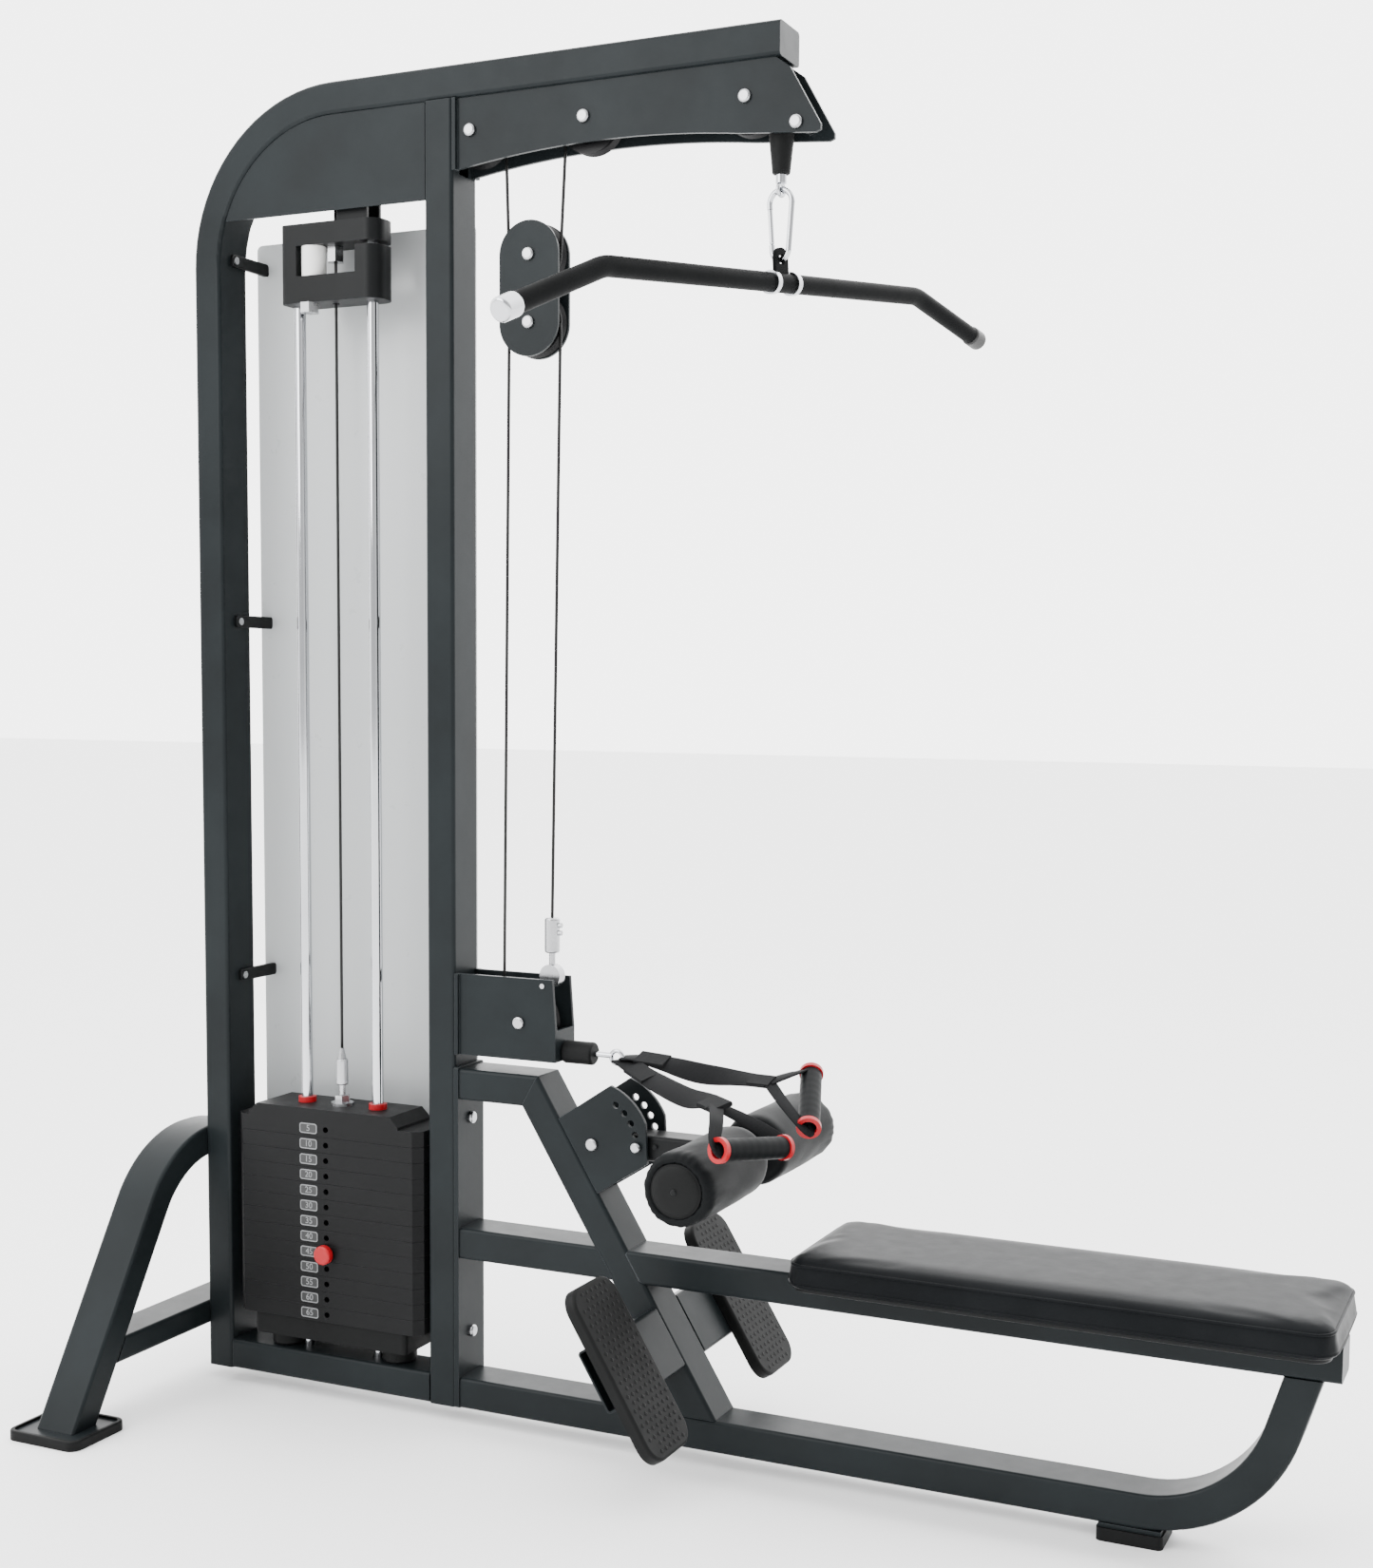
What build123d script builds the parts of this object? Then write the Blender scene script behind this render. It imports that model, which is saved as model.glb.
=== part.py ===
from build123d import *
import os
from math import acos, atan2, cos, degrees, hypot, radians, sin, tan

# Cable machine with a high pull-down station, a low row station, a selector weight stack,
# a straddled bench, footplates and an adjustable thigh roller. Millimetres, +Z up.
# Working axes: X = 0 on the front face of the front upright and +X towards the user,
# Y = 0 on the mid-plane, Z = 0 on the floor. The finished pieces are moved by ORIGIN_X
# so that the origin stands under the middle of the machine.
ORIGIN_X = 388.75

# Steel tube of the frame
DEEP = 50.0          # tube size in the side plane
WIDE = 75.0          # tube size across the machine
WALL = 3.0
CORNER = 6.0
CAP = 3.0            # welded end plates

# Stack frame
BASE_Z = 25.0        # underside of the base tubes
BASE_TOP = BASE_Z + DEEP
TOP_Z = 2140.0
BEAM_Z = TOP_Z - DEEP            # underside of the top beam
REAR_X = -493.0                  # rear face of the rear upright
WINDOW_X = REAR_X + DEEP         # front face of the rear upright
BEND_R = 270.0                   # outside radius of the top bend
ARM_END_X = 543.0
SLOT_Y = 15.0                    # half width of the cable slot in the front upright
SLOT_Z = 1980.0

# Rear legs
LEG_CX = REAR_X - WIDE / 2
LEG_TOP_Z = 440.0
LEG_ANGLE = 59.0                 # leg slope from the floor
LEG_R = 175.0
LEG_FOOT_Y = 350.0
FOOT_PLATE = (125.0, 110.0, 8.0)
FOOT_SHOE = (139.0, 124.0, 16.0)
FOOT_BED = 4.0                   # rubber under the steel foot plate
BRACE_Z = (95.0, 135.0)

# Guide rods and weight stack
STACK_X = -240.0
ROD_GAP = 70.0                   # rod to stack centre
ROD_R = 9.5
BUMPER_GAP = 110.0
RISER_X = (-390.0, -90.0)        # block the stack rests on
RISER_Y = 45.0
RISER_Z = 100.0
PLATE_X = (-421.0, -59.0)
PLATE_Y = 50.0                   # half depth
PLATE_H = 25.4
PITCH = 26.0
PLATES = 12                      # under the top plate
LIFTED = 8                       # plates above the selector pin
PLATE_CUT = 14.0                 # corner chamfer
STACK_Z = 136.0                  # underside of the lowest plate
TOP_PLATE_Z = STACK_Z + PLATES * PITCH
TOP_BLOCK = (-394.0, -100.0)     # raised part of the top plate
TOP_PLATE_TOP = TOP_PLATE_Z + 46.0
STEM_R = 11.0
PIN_R = 5.0
TERMINAL_TOP = 590.0

# Rod head, which holds the top ends of the guide rods
HEAD_X = (-328.0, -143.0)
HEAD_Y = 30.0
HEAD_Z = (1803.0, 1927.0)
HEAD_GAP = (1845.0, 1893.0)      # open middle of the head
HEAD_OPEN_X = (-296.0, -184.0)
HEAD_SLOT = 6.0                  # gap under the top of the clamp, open at the front

# Cables and pulleys
CABLE_R = 2.5
PITCH_R = 45.0                   # cable centre on a pulley
GAP = 0.3                        # clearance at the groove
PULLEY_R = 50.0
PULLEY_W = 24.0
AXLE_R = 6.0
FIT = 0.05
ARM_Z = 2040.0
REAR_PULLEY = (29.0, ARM_Z)
MID_PULLEY = (225.0, ARM_Z)
FRONT_PULLEY = (487.0, ARM_Z)
STACK_PULLEY = (STACK_X + PITCH_R, ARM_Z)
BLOCK_X = 125.0
BLOCK_UPPER = (BLOCK_X, 1849.0)
BLOCK_LOWER = (BLOCK_X, 1747.0)
LOW_PULLEY = (115.0, 664.0)
LAT_X = FRONT_PULLEY[0] + PITCH_R
LOW_Z = LOW_PULLEY[1] - PITCH_R
ANCHOR_X = 157.0
ANCHOR_TOP = 830.0
ANCHOR_PIN_Z = 738.0

# Arm side plates
PLATE_IN = 25.0
PLATE_T = 6.0
ARM_BOLT = (567.0, 1996.0)

# Low pulley housing
HOUSE_X = 174.0
HOUSE_Z = (605.0, 735.0)
HOUSE_T = 6.0

# Seat frame
FLANGE_T = 8.0
FLANGE_Y = 40.0
SEAT_TOP_Z = 582.0               # top of the short upper tube
SLOPE = 58.5                     # diagonal post, from the floor
POST_N = 407.0                   # distance of the post's centre line from the origin
RAIL_Z = 272.0
RAIL_TOP = RAIL_Z + DEEP
RAIL_END = 1373.0
POST_ANGLE = 72.7                # front post, from the floor
POST_R = 200.0
POST_CORNER_X = 1254.0
FOOT_FRONT_X = 1095.0

# Footrest
STUB_S = (-18.0, 82.0)           # along the post
STUB_Y = 215.0
TREAD_S = (-102.0, 172.0)
TREAD_Y = (140.0, 270.0)
TREAD_T = 18.0

# Thigh roller
PIVOT = (248.0, 484.0)
SECTOR_R = 100.0
HOLE_R = 77.5                    # pivot to the adjusting holes
HOLE_ANGLES = [2.5 + 13.9 * i for i in range(5)]
ROLLER_X = 490.0
ROLLER_R = 55.0
ROLLER_Y = (30.0, 250.0)
ROLLER_AXLE_R = 12.5

# Bench pad
PAD_X = (600.0, 1377.5)
PAD_Y = 132.0
PAD_H = 53.0

# Pull-down bar
BAR_TURN = 80.0                  # bar swung from +X towards +Y
BAR_TILT = 6.3                   # far end hangs higher
BAR_Z = 1779.0
BAR_R = 14.0
BAR_FLAT = 420.0
BAR_HALF = 640.0
BAR_DROP = 65.0
BAR_SHIFT = -9.65                # bar set off centre in its tab
TAB_HOLE_Z = 1812.0

CENTRE = (Align.CENTER, Align.CENTER, Align.CENTER)
UP = (Align.CENTER, Align.CENTER, Align.MIN)
BIG = 3000.0

D = (cos(radians(SLOPE)), -sin(radians(SLOPE)))      # down along the diagonal post
N = (sin(radians(SLOPE)), cos(radians(SLOPE)))       # square to it, towards the user


def box(x0, x1, y0, y1, z0, z1):
    return Pos((x0 + x1) / 2, (y0 + y1) / 2, (z0 + z1) / 2) * Box(x1 - x0, y1 - y0, z1 - z0)


def rod_y(x, z, r, y0, y1):
    """Round bar across the machine."""
    return Pos(x, (y0 + y1) / 2, z) * Rot(90, 0, 0) * Cylinder(r, y1 - y0)


def rod_z(x, y, r, z0, z1):
    return Pos(x, y, (z0 + z1) / 2) * Cylinder(r, z1 - z0)


def rod_x(y, z, r, x0, x1):
    return Pos((x0 + x1) / 2, y, z) * Rot(0, 90, 0) * Cylinder(r, x1 - x0)


def side_plane(x, z, angle):
    """Plane at (x, 0, z) whose normal lies in the side plane, angle degrees up from +X."""
    a = radians(angle)
    return Plane(origin=(x, 0, z), x_dir=(-sin(a), 0, cos(a)), z_dir=(cos(a), 0, sin(a)))


def beyond(x, z, angle):
    """Everything past that plane."""
    return side_plane(x, z, angle) * Box(BIG, BIG, BIG, align=UP)


def tube_face(plane, deep=DEEP, wide=WIDE, wall=WALL):
    outer = RectangleRounded(deep, wide, CORNER)
    inner = RectangleRounded(deep - 2 * wall, wide - 2 * wall, CORNER - wall)
    return plane * (outer - inner)


def tube(x, z, angle, length):
    return extrude(tube_face(side_plane(x, z, angle)), amount=length)


def solid_tube(x, z, angle, length):
    return extrude(side_plane(x, z, angle) * RectangleRounded(DEEP, WIDE, CORNER), amount=length)


def end_plate(x, z, angle):
    return extrude(side_plane(x, z, angle) * RectangleRounded(DEEP, WIDE, CORNER), amount=CAP)


def along_post(s, n):
    """Point in the side plane: s down the diagonal post, n out from it."""
    return (D[0] * s + N[0] * n, D[1] * s + N[1] * n)


def profile(points, y0, y1):
    """Flat plate with this outline in the side plane, from y0 to y1."""
    face = make_face(Polyline([(x, z) for x, z in points], close=True))
    return extrude(Plane(origin=(0, y1, 0), x_dir=(1, 0, 0), z_dir=(0, -1, 0)) * face, amount=y1 - y0)


def save(name, *solids):
    """Moves a piece to the machine's origin and writes it."""
    moved = [Pos(-ORIGIN_X, 0, 0) * s for shape in solids for s in shape.solids()]
    part = moved[0] if len(moved) == 1 else Compound(children=moved)
    export_step(part, f"parts/{name}.step")


# ---- stack frame ----

def main_tube():
    """Rear upright, top bend and top beam: one bent tube with welded ends."""
    rise = BASE_Z + CAP
    bend_z = TOP_Z - BEND_R
    bend_x = REAR_X + BEND_R
    upright = tube(REAR_X + DEEP / 2, rise, 90, bend_z - rise)
    face = tube_face(side_plane(REAR_X + DEEP / 2, bend_z, 90))
    bend = revolve(face, Axis((bend_x, 0, bend_z), (0, 1, 0)), 90)
    beam = tube(bend_x, BEAM_Z + DEEP / 2, 0, ARM_END_X - CAP - bend_x)
    foot = end_plate(REAR_X + DEEP / 2, BASE_Z, 90)
    nose = end_plate(ARM_END_X - CAP, BEAM_Z + DEEP / 2, 0)
    return upright + bend + beam + foot + nose


def front_upright():
    post = tube(-DEEP / 2, BASE_Z + CAP, 90, BEAM_Z - BASE_Z - CAP) + end_plate(-DEEP / 2, BASE_Z, 90)
    return post - box(-DEEP - 1, 1, -SLOT_Y, SLOT_Y, SLOT_Z, BEAM_Z + 1)


def stack_base_tube():
    return tube(WINDOW_X, BASE_Z + DEEP / 2, 0, -DEEP - WINDOW_X)


def arm_plate(side):
    """Side plate under the top beam, with the flange strip that meets the upright."""
    low = ThreePointArc((480, 1989), (245, 2003), (0, 1982))
    outline = Polyline([(0, 1982), (0, BEAM_Z), (534, BEAM_Z), (556, 2074), (604, 1990), (604, 1982),
                        (596, 1979), (480, 1989)])
    face = make_face([outline, low])
    y0, y1 = sorted((side * PLATE_IN, side * (PLATE_IN + PLATE_T)))
    plate = extrude(Plane(origin=(0, y1, 0), x_dir=(1, 0, 0), z_dir=(0, -1, 0)) * face, amount=PLATE_T)
    f0, f1 = sorted((side * PLATE_IN, side * WIDE / 2))
    plate += box(0, PLATE_T, f0, f1, 1982, BEAM_Z)
    for x, z in (REAR_PULLEY, MID_PULLEY, FRONT_PULLEY, ARM_BOLT):
        plate -= rod_y(x, z, AXLE_R + FIT, y0 - 1, y1 + 1)
    return plate


def bolt_y(x, z, reach, head_r=10.0, head_t=6.0, nut_t=7.0):
    """Bolt across the machine: domed head on the near side, nut on the far side."""
    shank = rod_y(x, z, AXLE_R, -reach, reach)
    head = rod_y(x, z, head_r, -reach - head_t, -reach)
    head = fillet(head.edges().filter_by(GeomType.CIRCLE).group_by(Axis.Y)[0], head_t * 0.6)
    nut_face = Plane(origin=(x, reach, z), x_dir=(1, 0, 0), z_dir=(0, 1, 0)) * RegularPolygon(head_r, 6)
    return shank + head + extrude(nut_face, amount=nut_t)


def header_panel():
    inset = 0.5
    bottom = 1942.0
    r = BEND_R - DEEP - inset
    cx, cz = REAR_X + BEND_R, TOP_Z - BEND_R
    x_low = cx - (r * r - (bottom - cz) ** 2) ** 0.5
    mid = (cx - r * cos(radians(50)), cz + r * sin(radians(50)))
    right = -DEEP - inset
    arc = ThreePointArc((x_low, bottom), mid, (cx, cz + r))
    rest = Polyline([(cx, cz + r), (right, cz + r), (right, bottom), (x_low, bottom)])
    face = make_face([arc, rest])
    return extrude(Plane(origin=(0, -31, 0), x_dir=(1, 0, 0), z_dir=(0, -1, 0)) * face, amount=3)


SHROUD_X = (WINDOW_X - 17, -DEEP + 17)
SHROUD_Y = 90.0
SHROUD_Z = (84.0, 1929.0)
CLIP_Z = (1886.0, 1296.0, 700.0)
CLIP_T = 6.0


def shroud_panel():
    x0, x1 = SHROUD_X
    z0, z1 = SHROUD_Z
    sheet = box(x0, x1, SHROUD_Y, SHROUD_Y + 2, z0, z1)
    return fillet(sheet.edges().filter_by(Axis.Y), 10)


def shroud_clips(frame_tube):
    """Bars that reach back from the two uprights to the shroud."""
    clips = []
    for z in CLIP_Z:
        for face, sign in ((WINDOW_X, 1), (-DEEP, -1)):
            x0, x1 = sorted((face, face + sign * CLIP_T))
            bar = box(x0, x1, -8, SHROUD_Y, z - 10, z + 10)
            bar = fillet(bar.edges().filter_by(Axis.X), 5)
            clips.append(bar - frame_tube if z == CLIP_Z[0] and sign > 0 else bar)
    return clips


def clip_screws():
    screws = []
    for z in CLIP_Z:
        for face, sign in ((WINDOW_X, 1), (-DEEP, -1)):
            x0, x1 = sorted((face + sign * CLIP_T, face + sign * (CLIP_T + 3)))
            screws.append(rod_x(0, z, 6, x0, x1))
    return screws


def rod_head():
    """Clamp that holds the tops of the guide rods, with its two hanger plates."""
    body = box(*HEAD_X, -HEAD_Y, HEAD_Y, *HEAD_Z)
    edges = body.edges().filter_by(Axis.Z).sort_by(Axis.X)
    body = fillet(edges[:2], 12)
    body = fillet(body.edges().filter_by(Axis.Z).sort_by(Axis.X)[-2:], 25)
    body -= box(*HEAD_OPEN_X, -HEAD_Y - 1, HEAD_Y + 1, *HEAD_GAP)
    slot_z = HEAD_GAP[1] - HEAD_SLOT
    body -= box(HEAD_OPEN_X[1] - 1, HEAD_X[1] + 1, -HEAD_Y - 1, HEAD_Y + 1, slot_z, HEAD_GAP[1])
    for x in (STACK_X - ROD_GAP, STACK_X + ROD_GAP):
        body -= rod_z(x, 0, ROD_R + FIT, HEAD_Z[0] - 1, HEAD_Z[1] - 7)
    body -= rod_z(STACK_X, 0, 6, HEAD_Z[0] - 1, HEAD_Z[1] + 1)
    for y0 in (-HEAD_Y + 9, HEAD_Y - 15):
        body += box(-223, -167, y0, y0 + 6, HEAD_Z[1], BEAM_Z)
    return body - rod_y(*STACK_PULLEY, AXLE_R + FIT, -HEAD_Y, HEAD_Y)


def head_roller():
    return rod_z(-275, -10, 20, HEAD_GAP[0], HEAD_GAP[1])


def hex_nut(x, y, z0, z1, r, bore):
    nut = extrude(Plane(origin=(x, y, z0), z_dir=(0, 0, 1)) * RegularPolygon(r, 6), amount=z1 - z0)
    return nut - rod_z(x, y, bore, z0 - 1, z1 + 1) if bore else nut


def guide_rods():
    return [rod_z(STACK_X + s * ROD_GAP, 0, ROD_R, BASE_TOP, HEAD_Z[1] - 7.5) for s in (-1, 1)]


def stack_bumpers():
    """Block under the stack and the two rubber pucks that carry it."""
    block = box(*RISER_X, -RISER_Y, RISER_Y, RISER_Z, STACK_Z)
    block = fillet(block.edges().filter_by(Axis.Z), 8)
    for x in (STACK_X - ROD_GAP, STACK_X + ROD_GAP):
        block -= rod_z(x, 0, ROD_R + FIT, RISER_Z - 1, STACK_Z + 1)
    bumpers = [block]
    for s in (-1, 1):
        puck = rod_z(STACK_X + s * BUMPER_GAP, 0, 29, BASE_TOP, RISER_Z)
        bumpers.append(fillet(puck.edges().filter_by(GeomType.CIRCLE), 5))
    return bumpers


# ---- rear legs ----

def leg_point(y, z, angle):
    """Plane in the legs' own cross plane, angle degrees up from +Y."""
    a = radians(angle)
    return Plane(origin=(LEG_CX, y, z), x_dir=(0, -sin(a), cos(a)), z_dir=(0, cos(a), sin(a)))


def rear_legs():
    """Bent arch behind the rear upright, down to the two rear feet."""
    top = LEG_TOP_Z - DEEP / 2
    a = radians(LEG_ANGLE)
    foot_z = FOOT_BED + FOOT_PLATE[2]
    corner = LEG_FOOT_Y - (top - foot_z) / tan(a)
    start = corner - LEG_R * tan(a / 2)
    flat = extrude(tube_face(leg_point(0, top, 0)), amount=start)
    bend = revolve(tube_face(leg_point(start, top, 0)), Axis((LEG_CX, start, top - LEG_R), (-1, 0, 0)),
                   LEG_ANGLE)
    y1 = start + LEG_R * sin(a)
    z1 = top - LEG_R * (1 - cos(a))
    drop = extrude(tube_face(leg_point(y1, z1, -LEG_ANGLE)), amount=(z1 - foot_z) / sin(a) + 60)
    leg = flat + bend + drop
    leg -= box(LEG_CX - 99, LEG_CX + 99, -999, 999, foot_z - 200, foot_z)
    return leg + mirror(leg, Plane.XZ)


def leg_inner_y(z):
    """Inner face of the leg at this height, below the bend."""
    a = radians(LEG_ANGLE)
    foot_z = FOOT_BED + FOOT_PLATE[2]
    return LEG_FOOT_Y - (z - foot_z) / tan(a) - DEEP / 2 / sin(a)


def rear_crossbar():
    z0, z1 = BRACE_Z
    face = RectangleRounded(z1 - z0, WIDE, CORNER) - RectangleRounded(z1 - z0 - 2 * WALL, WIDE - 2 * WALL,
                                                                       CORNER - WALL)
    y_end = leg_inner_y(z0)
    bar = extrude(leg_point(-y_end, (z0 + z1) / 2, 0) * face, amount=2 * y_end)
    for side in (-1, 1):
        y_low, y_high = side * leg_inner_y(z0 - 10), side * leg_inner_y(z1 + 10)
        pts = [(y_low, z0 - 10), (y_high, z1 + 10), (side * 900, z1 + 10), (side * 900, z0 - 10)]
        cut = make_face(Polyline(pts, close=True))
        frame = Plane(origin=(LEG_CX - 90, 0, 0), x_dir=(0, 1, 0), z_dir=(1, 0, 0))
        bar -= extrude(frame * cut, amount=180)
    return bar


def foot_plates():
    """Steel plates under the two rear legs and under the front of the base."""
    lx, ly, t = FOOT_PLATE
    plates = []
    for side in (-1, 1):
        plate = Pos(LEG_CX, side * LEG_FOOT_Y, FOOT_BED + t / 2) * Box(lx, ly, t)
        plates.append(fillet(plate.edges().filter_by(Axis.Z), 12))
    plates.append(box(FOOT_FRONT_X - 44, FOOT_FRONT_X + 44, -36, 36, BASE_Z - 6, BASE_Z))
    return plates


def foot_shoes():
    """Rubber shoes: a rim around each rear foot plate, a block under the front of the base."""
    lx, ly, t = FOOT_PLATE
    sx, sy, h = FOOT_SHOE
    shoes = []
    for side in (-1, 1):
        shoe = fillet((Pos(LEG_CX, side * LEG_FOOT_Y, h / 2) * Box(sx, sy, h)).edges().filter_by(Axis.Z), 18)
        shoe = fillet(shoe.edges().group_by(Axis.Z)[-1], 3)
        bed = fillet(Box(lx + 0.4, ly + 0.4, h).edges().filter_by(Axis.Z), 12.2)
        shoes.append(shoe - Pos(LEG_CX, side * LEG_FOOT_Y, FOOT_BED + h / 2) * bed)
    block = box(FOOT_FRONT_X - 47, FOOT_FRONT_X + 47, -40, 40, 0, BASE_Z - 6)
    shoes.append(fillet(block.edges().filter_by(Axis.Z), 8))
    return shoes


# ---- seat frame ----

def seat_flange():
    plate = box(0, FLANGE_T, -FLANGE_Y, FLANGE_Y, BASE_Z, SEAT_TOP_Z + 3)
    return fillet(plate.edges().filter_by(Axis.X), 5)


def flange_bolts():
    bolts = []
    for z in (497.0, 144.0):
        head = fillet(rod_x(0, z, 10, FLANGE_T, FLANGE_T + 7).edges().group_by(Axis.X)[-1], 4)
        bolts.append(head)
    return bolts


MITRE_Z = SEAT_TOP_Z - DEEP / 2
MITRE_X = (POST_N - N[1] * MITRE_Z) / N[0]
MITRE_ANGLE = -SLOPE / 2


def seat_top_tube():
    run = tube(FLANGE_T, MITRE_Z, 0, MITRE_X - FLANGE_T + 80)
    return run - beyond(MITRE_X, MITRE_Z, MITRE_ANGLE)


def diagonal_run(make):
    x, z = MITRE_X - D[0] * 80, MITRE_Z - D[1] * 80
    run = make(x, z, -SLOPE, 760)
    run -= beyond(MITRE_X, MITRE_Z, MITRE_ANGLE + 180)
    return run - box(-BIG, BIG, -BIG, BIG, BASE_TOP - BIG, BASE_TOP)


def seat_rail():
    rail = tube(FLANGE_T, RAIL_Z + DEEP / 2, 0, RAIL_END - CAP - FLANGE_T)
    rail += end_plate(RAIL_END - CAP, RAIL_Z + DEEP / 2, 0)
    return rail - diagonal_run(solid_tube)


def seat_base_tube():
    """Base tube, its large front bend and the leaning front post under the rail."""
    z = BASE_Z + DEEP / 2
    a = radians(POST_ANGLE)
    start = POST_CORNER_X - POST_R * tan(a / 2)
    base = tube(FLANGE_T, z, 0, start - FLANGE_T)
    bend = revolve(tube_face(side_plane(start, z, 0)), Axis((start, 0, z + POST_R), (0, -1, 0)), POST_ANGLE)
    x1, z1 = start + POST_R * sin(a), z + POST_R * (1 - cos(a))
    post = tube(x1, z1, POST_ANGLE, 200) - box(-BIG, BIG, -BIG, BIG, RAIL_Z, BIG)
    return base + bend + post


# ---- footrest ----

def stub_tube(side):
    """Flat cross tube beside the diagonal post, front faces flush."""
    length = STUB_S[1] - STUB_S[0]
    x, z = along_post((STUB_S[0] + STUB_S[1]) / 2, POST_N)
    face = RectangleRounded(length, DEEP, CORNER) - RectangleRounded(length - 2 * WALL, DEEP - 2 * WALL,
                                                                    CORNER - WALL)
    y0 = WIDE / 2
    frame = Plane(origin=(x, side * y0, z), x_dir=(D[0], 0, D[1]), z_dir=(0, side, 0))
    return extrude(frame * face, amount=STUB_Y - y0)


def footplate(side):
    x, z = along_post((TREAD_S[0] + TREAD_S[1]) / 2, POST_N + DEEP / 2)
    y = side * (TREAD_Y[0] + TREAD_Y[1]) / 2
    frame = Plane(origin=(x, y, z), x_dir=(D[0], 0, D[1]), z_dir=(N[0], 0, N[1]))
    face = RectangleRounded(TREAD_S[1] - TREAD_S[0], TREAD_Y[1] - TREAD_Y[0], 32)
    plate = extrude(frame * face, amount=TREAD_T)
    return fillet(plate.edges().group_by(Axis(origin=(0, 0, 0), direction=(N[0], 0, N[1])))[-1], 5)


# ---- thigh roller ----

def sector_plate(side):
    """Plate with the pivot and five adjusting holes, welded to the front of the diagonal post."""
    px, pz = PIVOT
    a0, a1 = radians(24), radians(72)
    on_post = [along_post(s, POST_N + DEEP / 2) for s in (-344, -213)]
    p_low = (343.0, 462.0)
    start = (px + SECTOR_R * cos(a1), pz + SECTOR_R * sin(a1))
    mid = (px + SECTOR_R * cos((a0 + a1) / 2), pz + SECTOR_R * sin((a0 + a1) / 2))
    end = (px + SECTOR_R * cos(a0), pz + SECTOR_R * sin(a0))
    face = make_face([ThreePointArc(start, mid, end), Polyline([end, p_low, on_post[1], on_post[0], start])])
    y0, y1 = sorted((side * (WIDE / 2 - PLATE_T), side * WIDE / 2))
    plate = extrude(Plane(origin=(0, y1, 0), x_dir=(1, 0, 0), z_dir=(0, -1, 0)) * face, amount=PLATE_T)
    plate -= rod_y(px, pz, AXLE_R + FIT, y0 - 1, y1 + 1)
    for angle in HOLE_ANGLES:
        a = radians(angle)
        plate -= rod_y(px + HOLE_R * cos(a), pz + HOLE_R * sin(a), 5.5, y0 - 1, y1 + 1)
    return plate


def roller_arm():
    """Arm between the sector plates, with the cross axle of the two rollers."""
    px, pz = PIVOT
    half = 25.0
    height = 40.0
    arm = box(px, ROLLER_X, -half, half, pz - height / 2, pz + height / 2)
    arm = fillet(arm.edges().filter_by(Axis.X), 6)
    arm += rod_y(px, pz, height / 2, -half, half) + rod_y(ROLLER_X, pz, height / 2, -half, half)
    arm += rod_y(ROLLER_X, pz, ROLLER_AXLE_R, -ROLLER_Y[1] + 12, ROLLER_Y[1] - 12)
    arm += rod_y(351, pz + 4, 4, -half - 4, -half)
    return arm - rod_y(px, pz, AXLE_R + FIT, -half - 1, half + 1)


def roller(side):
    y0, y1 = sorted((side * ROLLER_Y[0], side * ROLLER_Y[1]))
    foam = rod_y(ROLLER_X, PIVOT[1], ROLLER_R, y0, y1)
    foam = fillet(foam.edges().filter_by(GeomType.CIRCLE), 14)
    b0, b1 = sorted((side * (ROLLER_Y[0] - 1), side * (ROLLER_Y[1] - 11)))
    return foam - rod_y(ROLLER_X, PIVOT[1], ROLLER_AXLE_R + 0.1, b0, b1)


def roller_pin():
    """Adjusting pin in the lowest hole of the near sector plate."""
    a = radians(HOLE_ANGLES[0])
    x, z = PIVOT[0] + HOLE_R * cos(a), PIVOT[1] + HOLE_R * sin(a)
    head = fillet(rod_y(x, z, 8, -WIDE / 2 - 9, -WIDE / 2 - 0.5).edges().filter_by(GeomType.CIRCLE), 3)
    return head + rod_y(x, z, 5.4, -WIDE / 2 - 0.6, -WIDE / 2 + PLATE_T)


# ---- bench pad ----

def seat_pad():
    pad = box(*PAD_X, -PAD_Y, PAD_Y, RAIL_TOP, RAIL_TOP + PAD_H)
    pad = fillet(pad.edges().filter_by(Axis.Z), 34)
    return fillet(pad.edges().group_by(Axis.Z)[-1], 12)


# ---- weight stack ----

def weight_plate(index):
    z0 = STACK_Z + index * PITCH
    x0, x1 = PLATE_X
    plate = box(x0, x1, -PLATE_Y, PLATE_Y, z0, z0 + PLATE_H)
    plate = chamfer(plate.edges().filter_by(Axis.Z), PLATE_CUT)
    return drill_plate(plate, z0, PLATE_H)


def drill_plate(plate, z0, height):
    for s in (-1, 1):
        plate -= rod_z(STACK_X + s * ROD_GAP, 0, ROD_R + 1.5, z0 - 1, z0 + height + 1)
    plate -= rod_z(STACK_X, 0, STEM_R + 1.5, z0 - 1, z0 + height + 1)
    return plate - rod_y(STACK_X, z0 + PLATE_H / 2, PIN_R + 0.08, -PLATE_Y - 1, 0)


def top_plate():
    x0, x1 = PLATE_X
    z0 = TOP_PLATE_Z
    plate = box(x0, x1, -PLATE_Y, PLATE_Y, z0, z0 + PLATE_H)
    plate = chamfer(plate.edges().filter_by(Axis.Z), PLATE_CUT)
    block = box(*TOP_BLOCK, -PLATE_Y, PLATE_Y, z0 + PLATE_H, TOP_PLATE_TOP)
    block = chamfer(block.edges().filter_by(Axis.Y).group_by(Axis.Z)[-1], 16)
    return drill_plate(plate + block, z0, TOP_PLATE_TOP - z0)


def rod_bushes():
    z0 = TOP_PLATE_TOP
    return [rod_z(STACK_X + s * ROD_GAP, 0, 15, z0, z0 + 9)
            - rod_z(STACK_X + s * ROD_GAP, 0, ROD_R + 0.1, z0 - 1, z0 + 10) for s in (-1, 1)]


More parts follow.
